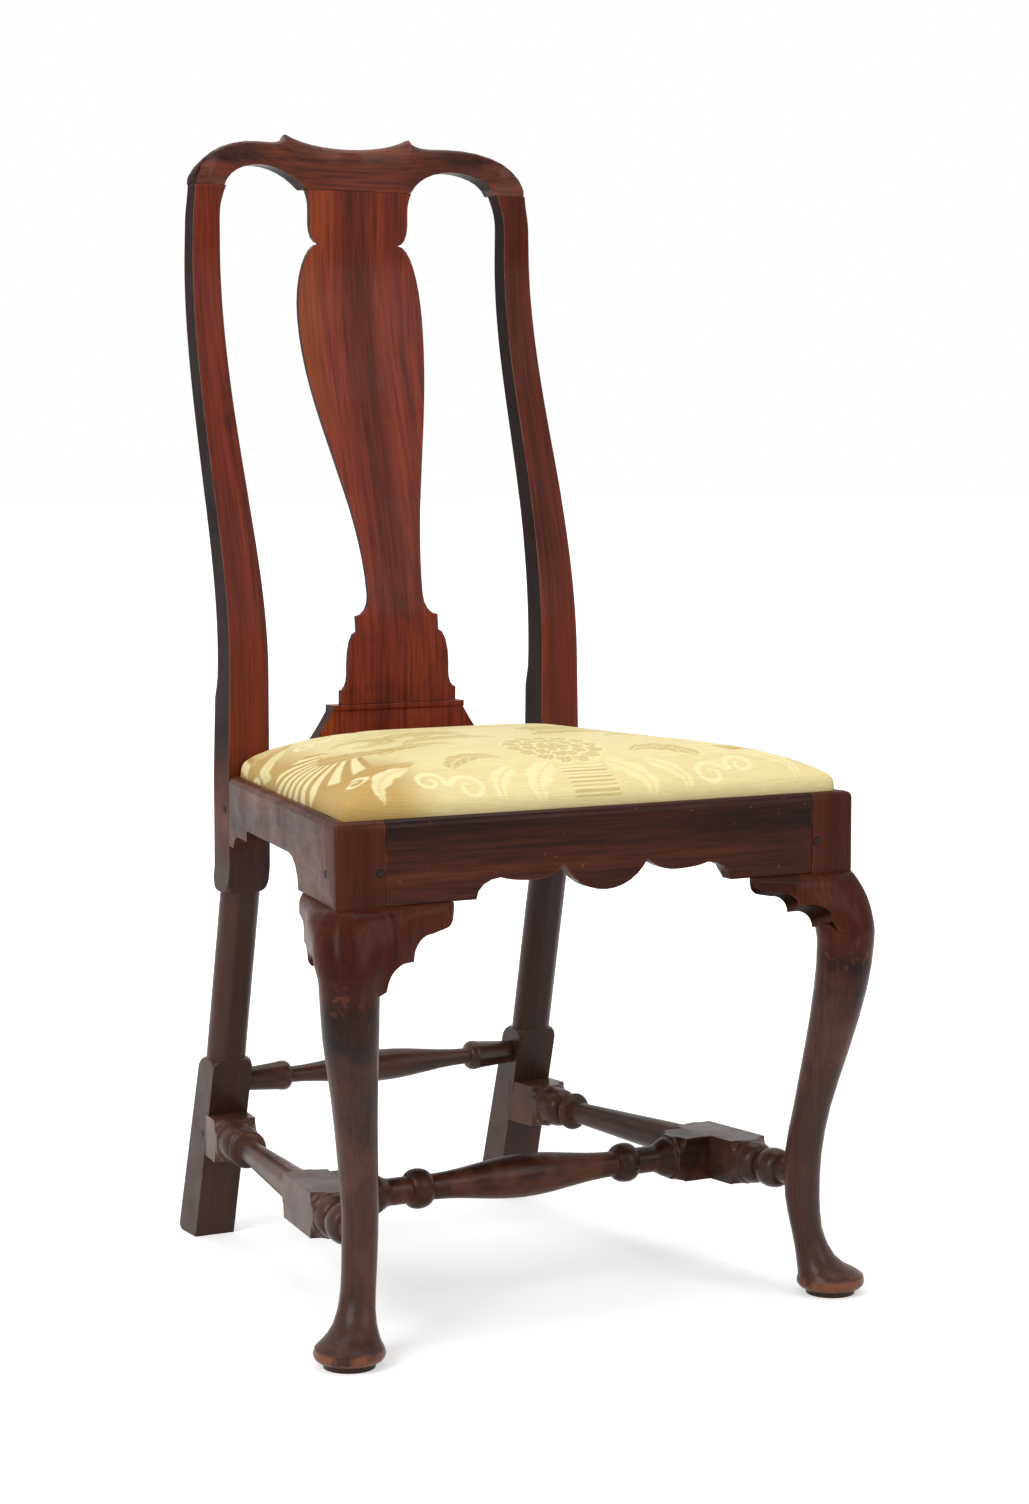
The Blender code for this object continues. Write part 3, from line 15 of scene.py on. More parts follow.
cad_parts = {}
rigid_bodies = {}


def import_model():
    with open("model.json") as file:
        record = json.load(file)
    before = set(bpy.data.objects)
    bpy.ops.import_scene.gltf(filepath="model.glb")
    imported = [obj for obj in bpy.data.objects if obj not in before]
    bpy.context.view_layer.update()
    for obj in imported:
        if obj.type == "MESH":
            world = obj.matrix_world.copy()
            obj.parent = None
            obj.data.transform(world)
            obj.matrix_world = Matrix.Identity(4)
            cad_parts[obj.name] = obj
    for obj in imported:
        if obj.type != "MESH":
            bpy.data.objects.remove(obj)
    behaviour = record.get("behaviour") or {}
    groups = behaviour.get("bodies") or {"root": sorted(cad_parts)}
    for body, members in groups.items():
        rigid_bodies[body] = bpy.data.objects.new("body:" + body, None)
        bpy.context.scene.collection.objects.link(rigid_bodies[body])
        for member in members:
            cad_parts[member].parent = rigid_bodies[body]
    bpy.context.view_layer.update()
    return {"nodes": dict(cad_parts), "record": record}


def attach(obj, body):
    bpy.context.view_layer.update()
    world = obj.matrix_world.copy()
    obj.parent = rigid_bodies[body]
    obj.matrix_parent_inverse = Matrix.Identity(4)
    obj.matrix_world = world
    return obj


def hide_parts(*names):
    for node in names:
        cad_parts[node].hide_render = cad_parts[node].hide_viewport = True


for leftover in list(bpy.data.objects):
    bpy.data.objects.remove(leftover, do_unlink=True)

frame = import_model()
nodes = frame["nodes"]
body_of = {node: body for body, held in frame["record"]["behaviour"]["bodies"].items() for node in held}

# Node trees


class Tree:
    """The nodes of a material or a world, added one call at a time."""

    def __init__(self, owner, shader="Principled BSDF"):
        owner.use_nodes = True
        self.owner = owner
        self.nodes = owner.node_tree.nodes
        self.links = owner.node_tree.links
        self.shader = self.nodes[shader]

    def add(self, kind, inputs=(), **settings):
        made = self.nodes.new(kind)
        for name, value in settings.items():
            setattr(made, name, value)
        for key, value in dict(inputs).items():
            self.feed(value, made.inputs[key])
        return made

    def feed(self, value, socket):
        if isinstance(value, bpy.types.NodeSocket):
            self.links.new(value, socket)
        else:
            socket.default_value = value

    def put(self, name, value):
        """Sets an input of the shader."""
        self.feed(value, self.shader.inputs[name])

    def math(self, operation, *values, clamp=False):
        made = self.nodes.new("ShaderNodeMath")
        made.operation = operation
        made.use_clamp = clamp
        for value, socket in zip(values, made.inputs):
            self.feed(value, socket)
        return made.outputs[0]

    def mix(self, share, first, second, blend="MIX"):
        made = self.nodes.new("ShaderNodeMix")
        made.data_type = "RGBA"
        made.blend_type = blend
        for value, index in ((share, 0), (first, 6), (second, 7)):
            self.feed(value, made.inputs[index])
        return made.outputs[2]

    def ramp(self, value, *stops):
        """Smooth steps through (place, grey or colour)."""
        made = self.nodes.new("ShaderNodeValToRGB")
        elements = made.color_ramp.elements
        while len(elements) < len(stops):
            elements.new(0.5)
        for element, (place, colour) in zip(elements, stops):
            element.position = place
            element.color = (*colour, 1) if isinstance(colour, tuple) else (colour, colour, colour, 1)
        self.links.new(value, made.inputs[0])
        return made.outputs[0]

    def noise(self, vector, scale, detail=3.0, roughness=0.5, distortion=0.0):
        made = self.add("ShaderNodeTexNoise", {"Scale": scale, "Detail": detail, "Roughness": roughness,
                                               "Distortion": distortion})
        self.links.new(vector, made.inputs["Vector"])
        return made.outputs["Fac"]

    def mapped(self, scale, place=(0, 0, 0), turn=(0, 0, 0)):
        coordinates = self.add("ShaderNodeTexCoord")
        made = self.add("ShaderNodeMapping", {"Scale": scale, "Location": place, "Rotation": turn})
        self.links.new(coordinates.outputs["Object"], made.inputs["Vector"])
        return made.outputs["Vector"]

    def span(self, value, low, high, first=0.0, last=1.0):
        """A straight run from first to last while value goes from low to high."""
        made = self.add("ShaderNodeMapRange", {"Value": value, "From Min": low, "From Max": high,
                                               "To Min": first, "To Max": last})
        return made.outputs["Result"]

    def bump(self, height, strength, distance, **others):
        inputs = {"Strength": strength, "Distance": distance, "Height": height, **others}
        made = self.add("ShaderNodeBump", inputs)
        self.put("Normal", made.outputs[0])


def rgb(colour):
    return (*colour, 1.0)


# Wood: the grain runs along one axis, bands and knots vary it, arrises are worn and hollows are dirty

ALONG = {"x": (0.045, 1, 1), "y": (1, 0.045, 1), "z": (1, 1, 0.045), "swept": (1, 0.03, 0.04)}
CLOUDS = {"x": (0.25, 1, 1), "y": (1, 0.25, 1), "z": (1, 1, 0.25), "swept": (1, 0.2, 0.22)}
WEAR_WIDE = 0.0022
WEAR_GAIN = 9.0
COAT_ROUGH = 0.18
SOFT_ARRIS = 0.0009


class Wood(Tree):
    """Varnished wood. The colour is built up by the methods, then finished."""

    def __init__(self, name, axis, dark, mid, light, place, clouds=0.5, streaks=0.75):
        super().__init__(bpy.data.materials.new(name))
        offset = (place * 1.7, place * 0.9 + 3.1, place * 2.3 + 1.3)
        self.grain = self.mapped(ALONG[axis], offset)
        self.plain = self.mapped((1, 1, 1), offset)
        own = self.add("ShaderNodeSeparateXYZ", {"Vector": self.mapped((1, 1, 1))})
        self.x, self.y, self.z = own.outputs
        face = self.add("ShaderNodeNewGeometry")
        self.facing = self.add("ShaderNodeSeparateXYZ", {"Vector": face.outputs["True Normal"]}).outputs
        band = self.noise(self.grain, 22.0, 3.0, 0.5, 0.3)
        self.colour = self.ramp(band, (0.32, dark), (0.47, mid), (0.57, mid), (0.72, light))
        self.fibre = self.noise(self.grain, 300.0, 4.0, 0.7)
        self.shade(self.ramp(self.fibre, (0.38, 0.40), (0.58, 1.0)), 0.80)
        streak = self.noise(self.grain, 85.0, 3.0, 0.6)
        self.shade(self.ramp(streak, (0.32, 0.25), (0.45, 1.0)), streaks)
        cloud = self.noise(self.mapped(CLOUDS[axis], offset), 16.0, 3.0, 0.55)
        self.shade(self.ramp(cloud, (0.36, 0.28), (0.58, 1.0)), clouds)

    def shade(self, level, share):
        self.colour = self.mix(share, self.colour, level, "MULTIPLY")

    def stain(self, share, colour, amount=None, blend="MIX"):
        """Lays a colour on the wood where share is one, and no more of it than amount."""
        if amount is not None:
            share = self.math("MULTIPLY", share, amount)
        self.colour = self.mix(share, self.colour, rgb(colour), blend)

    def darken(self, share, colour, amount=None):
        self.stain(share, colour, amount, "MULTIPLY")

    def spots(self, scale, low, high, detail=3.0):
        return self.ramp(self.noise(self.plain, scale, detail, 0.6), (low, 0.0), (high, 1.0))

    def both(self, first, second):
        return self.math("MULTIPLY", first, second, clamp=True)

    def between(self, value, low, high, ease):
        """One between two levels, fading out past them."""
        return self.both(self.span(value, low - ease, low), self.span(value, high + ease, high))

    def edges(self):
        """One along the arrises."""
        soft = self.add("ShaderNodeBevel", {"Radius": WEAR_WIDE}, samples=6)
        face = self.add("ShaderNodeNewGeometry")
        turned = self.add("ShaderNodeVectorMath", {0: soft.outputs[0], 1: face.outputs["Normal"]},
                          operation="DOT_PRODUCT")
        bent = self.math("SUBTRACT", 1.0, turned.outputs["Value"])
        return self.math("MULTIPLY", bent, WEAR_GAIN, clamp=True)

    def wear(self, amount, nicks):
        self.stain(self.both(self.edges(), self.spots(38.0, 0.46, 0.66)), WORN, amount)
        self.stain(self.spots(190.0, 0.715, 0.75, 2.0), WORN, nicks)

    def finish(self, rough, gloss, coat=0.06):
        self.put("Base Color", self.colour)
        haze = self.noise(self.plain, 26.0, 4.0, 0.6)
        self.put("Roughness", self.span(haze, 0.3, 0.7, rough - 0.08, rough + 0.12))
        self.put("Specular IOR Level", gloss)
        self.put("Coat Weight", coat)
        self.put("Coat Roughness", COAT_ROUGH)
        rounded = self.add("ShaderNodeBevel", {"Radius": SOFT_ARRIS}, samples=4)
        swell = self.noise(self.plain, 45.0, 2.0, 0.5)
        height = self.math("ADD", self.math("MULTIPLY", swell, 0.6), self.math("MULTIPLY", self.fibre, 0.3))
        self.bump(height, 0.16, 0.001, Normal=rounded.outputs[0])
        return self.owner


BACK = ((0.085, 0.014, 0.006), (0.190, 0.027, 0.010), (0.300, 0.054, 0.014))
CREST = ((0.045, 0.011, 0.007), (0.140, 0.026, 0.011), (0.250, 0.050, 0.015))
FRAME = ((0.024, 0.007, 0.004), (0.068, 0.016, 0.008), (0.125, 0.031, 0.012))
SIDES = ((0.050, 0.016, 0.009), (0.120, 0.036, 0.020), (0.190, 0.062, 0.030))
LEG = ((0.018, 0.006, 0.004), (0.074, 0.018, 0.010), (0.145, 0.038, 0.015))
PIN = ((0.006, 0.003, 0.002), (0.012, 0.006, 0.004), (0.020, 0.010, 0.006))
INNER = ((0.160, 0.090, 0.045), (0.290, 0.180, 0.095), (0.380, 0.255, 0.145))
WORN = (0.270, 0.085, 0.032)
# Pale pink of a painted highlight, laid on the posts' left front arrises
PAINTED_ARRIS_HIGHLIGHT = (0.600, 0.430, 0.330)
GRIME = (0.10, 0.12, 0.12)
# Greyish colour that is dust and also painted sheen on the lower parts and the stretchers
DUST_AND_SHEEN = (0.085, 0.060, 0.050)


def splat_wood():
    tree = Wood("splat_wood", "swept", *BACK, 0.0, 0.25, 0.35)
    middle = tree.both(tree.between(tree.x, -0.006, 0.008, 0.022), tree.span(tree.z, 0.52, 0.66))
    tree.darken(middle, (0.42, 0.36, 0.42), 0.75)
    margin = tree.both(tree.span(tree.x, -0.036, -0.062), tree.between(tree.z, 0.80, 0.92, 0.06))
    tree.stain(margin, (0.36, 0.088, 0.018), 0.30)
    foot = tree.both(tree.between(tree.z, 0.50, 0.60, 0.02), tree.spots(30.0, 0.45, 0.62))
    tree.darken(foot, (0.45, 0.5, 0.6), 0.5)
    sides = tree.span(tree.math("ABSOLUTE", tree.facing["X"]), 0.55, 0.85)
    tree.darken(sides, (0.16, 0.20, 0.24))
    tree.wear(0.4, 0.2)
    return tree.finish(0.34, 0.07)


def crest_wood():
    tree = Wood("crest_wood", "x", *CREST, 2.7, 0.6)
    right_end = tree.span(tree.x, 0.05, 0.15)
    tree.darken(right_end, (0.55, 0.75, 0.9), 0.7)
    below = tree.span(tree.facing["Z"], -0.3, -0.7)
    tree.darken(below, (0.20, 0.24, 0.28))
    left_end = tree.both(tree.span(tree.facing["X"], -0.35, -0.6), tree.span(tree.x, -0.10, -0.14))
    tree.darken(left_end, (0.25, 0.32, 0.40))
    tree.wear(0.4, 0.2)
    dull = tree.math("MAXIMUM", left_end, below)
    return tree.finish(0.27, tree.span(dull, 0.0, 1.0, 0.11, 0.02), tree.span(dull, 0.0, 1.0, 0.08, 0.0))


def post_wood(name, place, low_dark):
    """The sides are blackened, and below the seat the varnish is darker and duller."""
    tree = Wood(name, "swept", *BACK, place, 0.30, 0.30)
    knots = tree.both(tree.spots(16.0, 0.64, 0.72), tree.span(tree.z, 0.48, 0.52))
    tree.darken(knots, (0.25, 0.2, 0.25), 0.55)
    half_way = tree.between(tree.z, 0.50, 0.72, 0.06)
    tree.darken(half_way, (0.55, 0.6, 0.7), low_dark)
    below = tree.span(tree.z, 0.45, 0.36)
    tree.darken(below, (0.20, 0.34, 0.44), 0.90)
    # Greyer towards the foot: dust, and painted sheen
    dusty_and_sheen = tree.span(tree.z, 0.36, 0.32)
    tree.stain(dusty_and_sheen, DUST_AND_SHEEN, 0.25)
    warm = tree.between(tree.z, 0.47, 0.56, 0.05)
    tree.stain(warm, (0.210, 0.050, 0.026), 0.32)
    sides = tree.span(tree.math("ABSOLUTE", tree.facing["X"]), 0.60, 0.85)
    tree.darken(tree.both(sides, tree.span(tree.z, 0.40, 0.47)), (0.09, 0.16, 0.22))
    # Painted highlight: a pale broken line on the arrises that face left and forward, above the seat
    above = tree.span(tree.z, 0.42, 0.47)
    line = tree.math("MULTIPLY", tree.facing["X"], tree.facing["Y"])
    share = tree.both(tree.span(line, 0.10, 0.26), tree.math("LESS_THAN", tree.facing["X"], 0.0))
    share = tree.both(tree.both(share, tree.spots(21.0, 0.30, 0.42)), above)
    tree.stain(share, PAINTED_ARRIS_HIGHLIGHT)
    tree.wear(0.4, 0.2)
    front = tree.math("SUBTRACT", 1.0, sides)
    return tree.finish(0.36, tree.span(tree.z, 0.45, 0.36, 0.04, 0.16), tree.math("MULTIPLY", front, 0.06))


def frame_wood(name, axis, tones, place, gloss, rough):
    tree = Wood(name, axis, *tones, place, 0.48, 0.4)
    tree.wear(0.7, 0.45)
    return tree.finish(rough, gloss)


def leg_wood(name, place):
    """Grime under the knee, painted shade on the undersides at the knee, wear on the knee and on the rim of
    the pad; the stump is like the rails.
    """
    tree = Wood(name, "z", *LEG, place, 0.55)
    grime = tree.both(tree.between(tree.z, 0.262, 0.298, 0.022), tree.spots(24.0, 0.40, 0.58))
    tree.darken(grime, GRIME, 0.9)
    ruddy = tree.between(tree.z, 0.305, 0.362, 0.012)
    tree.stain(ruddy, (0.085, 0.014, 0.006), 0.35)
    knee = tree.both(tree.between(tree.z, 0.296, 0.312, 0.010), tree.spots(95.0, 0.55, 0.63))
    tree.stain(knee, (0.20, 0.055, 0.022), 0.30)
    rim = tree.both(tree.between(tree.z, 0.0075, 0.0135, 0.003), tree.spots(45.0, 0.36, 0.52))
    tree.stain(rim, WORN, 0.75)
    rubbed = tree.both(tree.between(tree.z, 0.05, 0.24, 0.03), tree.spots(19.0, 0.52, 0.66))
    tree.stain(rubbed, (0.130, 0.046, 0.026), 0.42)
    # Greyer towards the pad: dust, and painted sheen
    dusty_and_sheen = tree.span(tree.z, 0.27, 0.23)
    tree.stain(dusty_and_sheen, DUST_AND_SHEEN, 0.18)
    # Painted shade: the faces turned down at the knee are darkened
    under = tree.both(tree.span(tree.facing["Z"], -0.15, -0.45), tree.span(tree.z, 0.29, 0.31))
    tree.darken(under, (0.30, 0.36, 0.42))
    joint = tree.between(tree.math("ABSOLUTE", tree.x), 0.2036, 0.2042, 0.0005)
    joint = tree.both(joint, tree.both(tree.span(tree.z, 0.333, 0.338), tree.span(tree.z, 0.3733, 0.3728)))
    tree.darken(joint, GRIME, 0.5)
    stump = tree.span(tree.z, 0.369, 0.3725)
    tree.stain(stump, (0.085, 0.019, 0.009), 0.40)
    tree.wear(0.5, 0.18)
    lit = tree.span(under, 0.0, 1.0, 1.0, 0.1)
    return tree.finish(0.33, tree.math("MULTIPLY", tree.span(tree.z, 0.26, 0.33, 0.17, 0.05), lit),
                       tree.math("MULTIPLY", lit, 0.04))


def turned_wood(name, axis, place, gloss, dust_and_sheen_share):
    tree = Wood(name, axis, *LEG, place, 0.5, 0.55)
    rubbed = tree.spots(17.0, 0.54, 0.63)
    tree.stain(rubbed, (0.150, 0.046, 0.020), 0.45)
    # An even grey over the stretcher: dust, and painted sheen
    tree.stain(dust_and_sheen_share, DUST_AND_SHEEN)
    tree.wear(0.8, 0.35)
    return tree.finish(0.33, gloss, 0.08)


def plain_wood(name, axis, tones, place, rough, gloss):
    tree = Wood(name, axis, *tones, place, 0.3)
    return tree.finish(rough, gloss, 0.0)


splat_look = splat_wood()
post_looks = {"left": post_wood("left_post_wood", 0.8, 0.2),
              "right": post_wood("right_post_wood", 1.9, 0.0)}
crest_look = crest_wood()
front_rail_look = frame_wood("front_rail_wood", "x", FRAME, 3.3, 0.06, 0.36)
side_rail_look = frame_wood("side_rail_wood", "y", SIDES, 4.1, 0.05, 0.38)
leg_looks = {"left": leg_wood("left_leg_wood", 5.2), "right": leg_wood("right_leg_wood", 6.4)}
side_stretcher_look = turned_wood("side_stretcher_wood", "y", 8.2, 0.14, 0.28)
medial_stretcher_look = turned_wood("medial_stretcher_wood", "x", 9.1, 0.10, 0.05)
rear_stretcher_look = turned_wood("rear_stretcher_wood", "x", 9.9, 0.24, 0.12)
pin_look = plain_wood("pin_wood", "z", PIN, 10.3, 0.5, 0.2)
inner_look = plain_wood("inner_wood", "x", INNER, 11.0, 0.72, 0.2)

# Wooden pieces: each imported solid, welded, with its arrises eased

EASE = 0.0007
EASE_ANGLE = math.radians(34)
FRAME_FRONT = min(vert.co.y for vert in nodes["front_seat_rail"].data.vertices)
FRAME_HALF = 0.2478
FRAME_SLOPE = 0.1838
TOP_ARRIS = 0.0032


def welded(node):
    shape = bmesh.new()
    shape.from_mesh(nodes[node].data)
    bmesh.ops.remove_doubles(shape, verts=shape.verts, dist=2e-5)
    bmesh.ops.dissolve_limit(shape, angle_limit=math.radians(0.5), verts=shape.verts, edges=shape.edges)
    return shape


def shown(name, shape, look, body, replaced):
    mesh = bpy.data.meshes.new(name)
    shape.to_mesh(mesh)
    shape.free()
    mesh.shade_smooth()
    piece = bpy.data.objects.new(name, mesh)
    bpy.context.scene.collection.objects.link(piece)
    mesh.materials.append(look)
    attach(piece, body)
    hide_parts(*replaced)
    return piece


def eased(piece, ease):
    piece.data.set_sharp_from_angle(angle=EASE_ANGLE)
    bevel = piece.modifiers.new("eased", "BEVEL")
    bevel.width = ease
    bevel.segments = 2
    bevel.limit_method = "ANGLE"
    bevel.angle_limit = EASE_ANGLE
    bevel.harden_normals = True


def round_topped(node):
    """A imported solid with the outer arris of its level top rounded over."""
    shape = welded(node)
    shape.normal_update()
    top = max(vert.co.z for vert in shape.verts)
    arrises = []
    for edge in shape.edges:
        if len(edge.link_faces) == 2 and min(vert.co.z for vert in edge.verts) > top - 1e-4:
            up, side = sorted(edge.link_faces, key=lambda face: -face.normal.z)
            middle = (edge.verts[0].co + edge.verts[1].co) / 2
            out = Vector((0, -1, 0))
            if abs(side.normal.x) > 0.8:
                out = Vector((math.copysign(1, middle.x), 0, 0))
            square = up.normal.z > 0.9 and abs(side.normal.z) < 0.1
            if square and side.normal.dot(out) > 0.8 and outermost(middle, out):
                arrises.append(edge)
    bmesh.ops.bevel(shape, geom=arrises, offset=TOP_ARRIS, segments=4, profile=0.5, affect="EDGES",
                    clamp_overlap=True)
    return shape


def outermost(place, out):
    """Whether a place on top of the seat frame is on its outer line, not on the rebate's."""
    if out.y < 0:
        return place.y < FRAME_FRONT + 0.003
    return abs(place.x) > FRAME_HALF - FRAME_SLOPE * (place.y - FRAME_FRONT) - 0.004


def remade(node, shape, look, ease=EASE):
    """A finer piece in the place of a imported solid."""
    eased(shown(node + "_dressed", shape, look, body_of[node], [node]), ease)


def dressed(node, look, ease=EASE):
    remade(node, welded(node), look, ease)


def flat(node, look):
    shown(node + "_dressed", welded(node), look, body_of[node], [node])


CREST_FOOT = 0.9745
SPRING = 0.0048
SPRING_HIGH = 0.022
SPRING_SPAN = (0.116, 0.1458)
HEAD_HALF = 0.045
FLARE = 0.0042
FLARE_HIGH = 0.018
FLARE_STEPS = 7


def sprung_crest():
    """The crest rail with the feet of its arches drawn in, to spring from the posts in one curve."""
    shape = welded("crest_rail")
    for vert in shape.verts:
        rise = (vert.co.z - CREST_FOOT) / SPRING_HIGH
        if rise < 1 and SPRING_SPAN[0] < abs(vert.co.x) < SPRING_SPAN[1]:
            vert.co.x -= math.copysign(SPRING * (1 - max(0.0, rise)) ** 2, vert.co.x)
    return shape


def flared_splat():
    """The splat with the sides of its head hollowed, wider where they meet the crest."""
    shape = welded("splat")
    foot = CREST_FOOT - FLARE_HIGH
    for step in range(FLARE_STEPS):
        everything = shape.verts[:] + shape.edges[:] + shape.faces[:]
        bmesh.ops.bisect_plane(shape, geom=everything, dist=1e-6, plane_no=(0, 0, 1),
                               plane_co=(0, 0, foot + FLARE_HIGH * step / FLARE_STEPS))
    for vert in shape.verts:
        if foot < vert.co.z < CREST_FOOT + 1e-4:
            rise = (vert.co.z - foot) / FLARE_HIGH
            vert.co.x += FLARE * rise ** 2 * max(-1.0, min(1.0, vert.co.x / HEAD_HALF))
    return shape


remade("splat", flared_splat(), splat_look)
dressed("splat_shoe", splat_look)
remade("crest_rail", sprung_crest(), crest_look)
remade("front_seat_rail", round_topped("front_seat_rail"), front_rail_look)
dressed("rear_seat_rail", front_rail_look)
for side in ("left", "right"):
    remade(side + "_seat_rail", round_topped(side + "_seat_rail"), side_rail_look)
    dressed(side + "_corner_block", inner_look)
    dressed(side + "_slip_side_slat", inner_look)
    for pin in ("front_rail_pin", "side_rail_pin", "post_pin", "stretcher_pin"):
        dressed(f"{side}_{pin}", pin_look, 0.0003)
dressed("rear_stretcher", rear_stretcher_look)
dressed("slip_front_slat", inner_look)
dressed("slip_rear_slat", inner_look)

# Turned and square lengths: a square blank, turned down where the lathe reaches inside its corners

AROUND = 64
TURN_STEPS = 10


def smooth_step(low, high, value):
    t = np.clip((value - low) / (high - low), 0, 1)
    return t * t * (3 - 2 * t)


def stretch(kind, t):
    """Shares of the way along and across a stretch of a profile."""
    if kind == "leaves":
        return math.sin(math.pi / 2 * t), 1 - math.cos(math.pi / 2 * t)
    if kind == "arrives":
        return 1 - math.cos(math.pi / 2 * t), math.sin(math.pi / 2 * t)
    if kind == "wave":
        return t, (1 - math.cos(math.pi * t)) / 2
    return t, t


def profile(start, *moves):
    """Points from start through (distance, radius, kind of stretch)."""
    points = [start]
    for distance, radius, kind in moves:
        first, before = points[-1]
        steps = 1 if kind == "line" else TURN_STEPS
        for step in range(1, steps + 1):
            along, across = stretch(kind, step / steps)
            points.append((first + (distance - first) * along, before + (radius - before) * across))
    return points


def blank(half_wide, half_deep, radius):
    ring = []
    for step in range(AROUND):
        angle = math.pi / 4 + 2 * math.pi * step / AROUND
        reach = 1 / max(abs(math.cos(angle)), abs(math.sin(angle)))
        u, v = math.cos(angle) * reach * half_wide, math.sin(angle) * reach * half_deep
        pull = min(1.0, radius / math.hypot(u, v))
        ring.append((u * pull, v * pull))
    return ring


def tube(rings):
    shape = bmesh.new()
    rows = [[shape.verts.new(point) for point in ring] for ring in rings]
    for first, second in zip(rows, rows[1:]):
        for i in range(len(first)):
            shape.faces.new((first[i - 1], first[i], second[i], second[i - 1]))
    shape.faces.new(rows[0])
    shape.faces.new(rows[-1])
    bmesh.ops.recalc_face_normals(shape, faces=shape.faces)
    return shape


# Stretchers

STRETCHER_Z = 0.1025
STRETCHER_FRONT = Vector((0.2149, -0.2092, STRETCHER_Z))
STRETCHER_REAR = Vector((0.1605, 0.1881, STRETCHER_Z))
BLOCK = 0.0195
CORNER = BLOCK * math.sqrt(2)
MEDIAL_Y = -0.0918


def side_stretcher(side):
    """Bead, cup, block, taper, ring, bulb and rear block, from inside the leg to inside the post."""
    sign = -1 if side == "left" else 1
    run = STRETCHER_REAR - STRETCHER_FRONT
    length, heading = run.length, run.normalized()
    across = heading.cross(Vector((0, 0, 1)))
    rear = length - 0.036
    rows = profile((0.008, 0.011), (0.025, 0.011, "line"), (0.037, 0.0175, "arrives"),
                   (0.049, 0.0115, "leaves"), (0.052, 0.0115, "line"), (0.064, 0.0188, "arrives"),
                   (0.066, 0.0205, "line"), (0.073, CORNER, "leaves"), (0.150, CORNER, "line"),
                   (0.154, 0.0205, "arrives"), (0.156, 0.016, "line"), (rear - 0.041, 0.0098, "line"),
                   (rear - 0.037, 0.0175, "arrives"), (rear - 0.033, 0.011, "leaves"),
                   (rear - 0.026, 0.011, "line"), (rear - 0.012, 0.0182, "arrives"),
                   (rear - 0.004, 0.0188, "line"), (rear - 0.003, 0.0205, "line"),
                   (rear + 0.005, CORNER, "leaves"), (length + 0.008, CORNER, "line"))
    rings = []
    for distance, radius in rows:
        middle = STRETCHER_FRONT + heading * distance
        points = [middle + across * u + Vector((0, 0, v)) for u, v in blank(BLOCK, BLOCK, radius)]
        rings.append([(sign * p.x, p.y, p.z) for p in points])
    return tube(rings)


def medial_stretcher():
    """Baluster, ball, reel, cup and block on each side of the middle, up to the side stretchers' blocks."""
    run = (STRETCHER_REAR - STRETCHER_FRONT).normalized()

    def end(y):
        return STRETCHER_FRONT.x - (BLOCK + 0.0002 - run.x * (y - STRETCHER_FRONT.y)) / run.y

    half = end(MEDIAL_Y)
    rows = profile((0, 0.019), (half - 0.087, 0.0112, "wave"), (half - 0.0755, 0.0174, "arrives"),
                   (half - 0.066, 0.0118, "leaves"), (half - 0.048, 0.0118, "line"),
                   (half - 0.032, 0.0178, "wave"), (half - 0.030, 0.0205, "line"),
                   (half - 0.023, CORNER, "leaves"))
    right = [[(distance, MEDIAL_Y + u, STRETCHER_Z + v) for u, v in blank(BLOCK, BLOCK, radius)]
             for distance, radius in rows]
    right.append([(end(MEDIAL_Y + u), MEDIAL_Y + u, STRETCHER_Z + v)
                  for u, v in blank(BLOCK, BLOCK, CORNER)])
    left = [[(-x, y, z) for x, y, z in ring] for ring in reversed(right[1:])]
    return tube(left + right)


# Rear posts

POST_INNER = 0.141
POST_OUTER = 0.181
POST_DEEP = 0.034
POST_TOP = 0.9743
POST_TOP_DEEP = 0.0225
POST_CHAMFER = 0.004
RAIL_TOP = 0.4425
TURNED = (0.1745, 0.3345)
TURNED_RADIUS = 0.018
HEEL_ROUND = 0.008
RAKE_FROM = 0.3585
CHAMFER_FROM = 0.5115
CROOK = (0.5365, 0.9165)
POST_BOW = {"left": 0.0020, "right": 0.0032}


def post_ring(z, radius, bow):
    """Section of a right post: raked below the seat, crooked and tapered above it."""
    front = FRAME_FRONT + 0.3635 + 0.0875 * smooth_step(*CROOK, z)
    front += 0.225 * max(0.0, RAKE_FROM - z) + 0.009 * max(0.0, 1 - z / TURNED[0])
    share = max(0.0, (z - RAIL_TOP) / (POST_TOP - RAIL_TOP))
    inner = POST_INNER + 0.0038 * smooth_step(CROOK[0], 0.80, z)
    wide = POST_OUTER - 0.0105 * share - inner
    spring = SPRING * max(0.0, 1 - (POST_TOP - z) / SPRING_HIGH) ** 2
    bow *= (1 - smooth_step(POST_TOP - 0.032, POST_TOP, z)) * smooth_step(0.52, 0.72, z)
    inner += bow - spring
    wide += spring
    deep = POST_DEEP + (POST_TOP_DEEP - POST_DEEP) * share
    if z < TURNED[0]:
        wide = 0.039
        deep = 0.040 - 0.006 * z / TURNED[0]
    deep -= HEEL_ROUND * (1 - math.sqrt(1 - max(0.0, 1 - z / HEEL_ROUND) ** 2))
    corner = (wide + deep) / 2 - POST_CHAMFER * smooth_step(CHAMFER_FROM, CHAMFER_FROM + 0.020, z)
    ring = []
    for u, v in blank(wide / 2, deep / 2, radius):
        pull = min(1.0, corner / (abs(u) + v)) if v > 0 else 1.0
        ring.append((inner + wide / 2 + u * pull, front + deep / 2 + v * pull, z))
    return ring


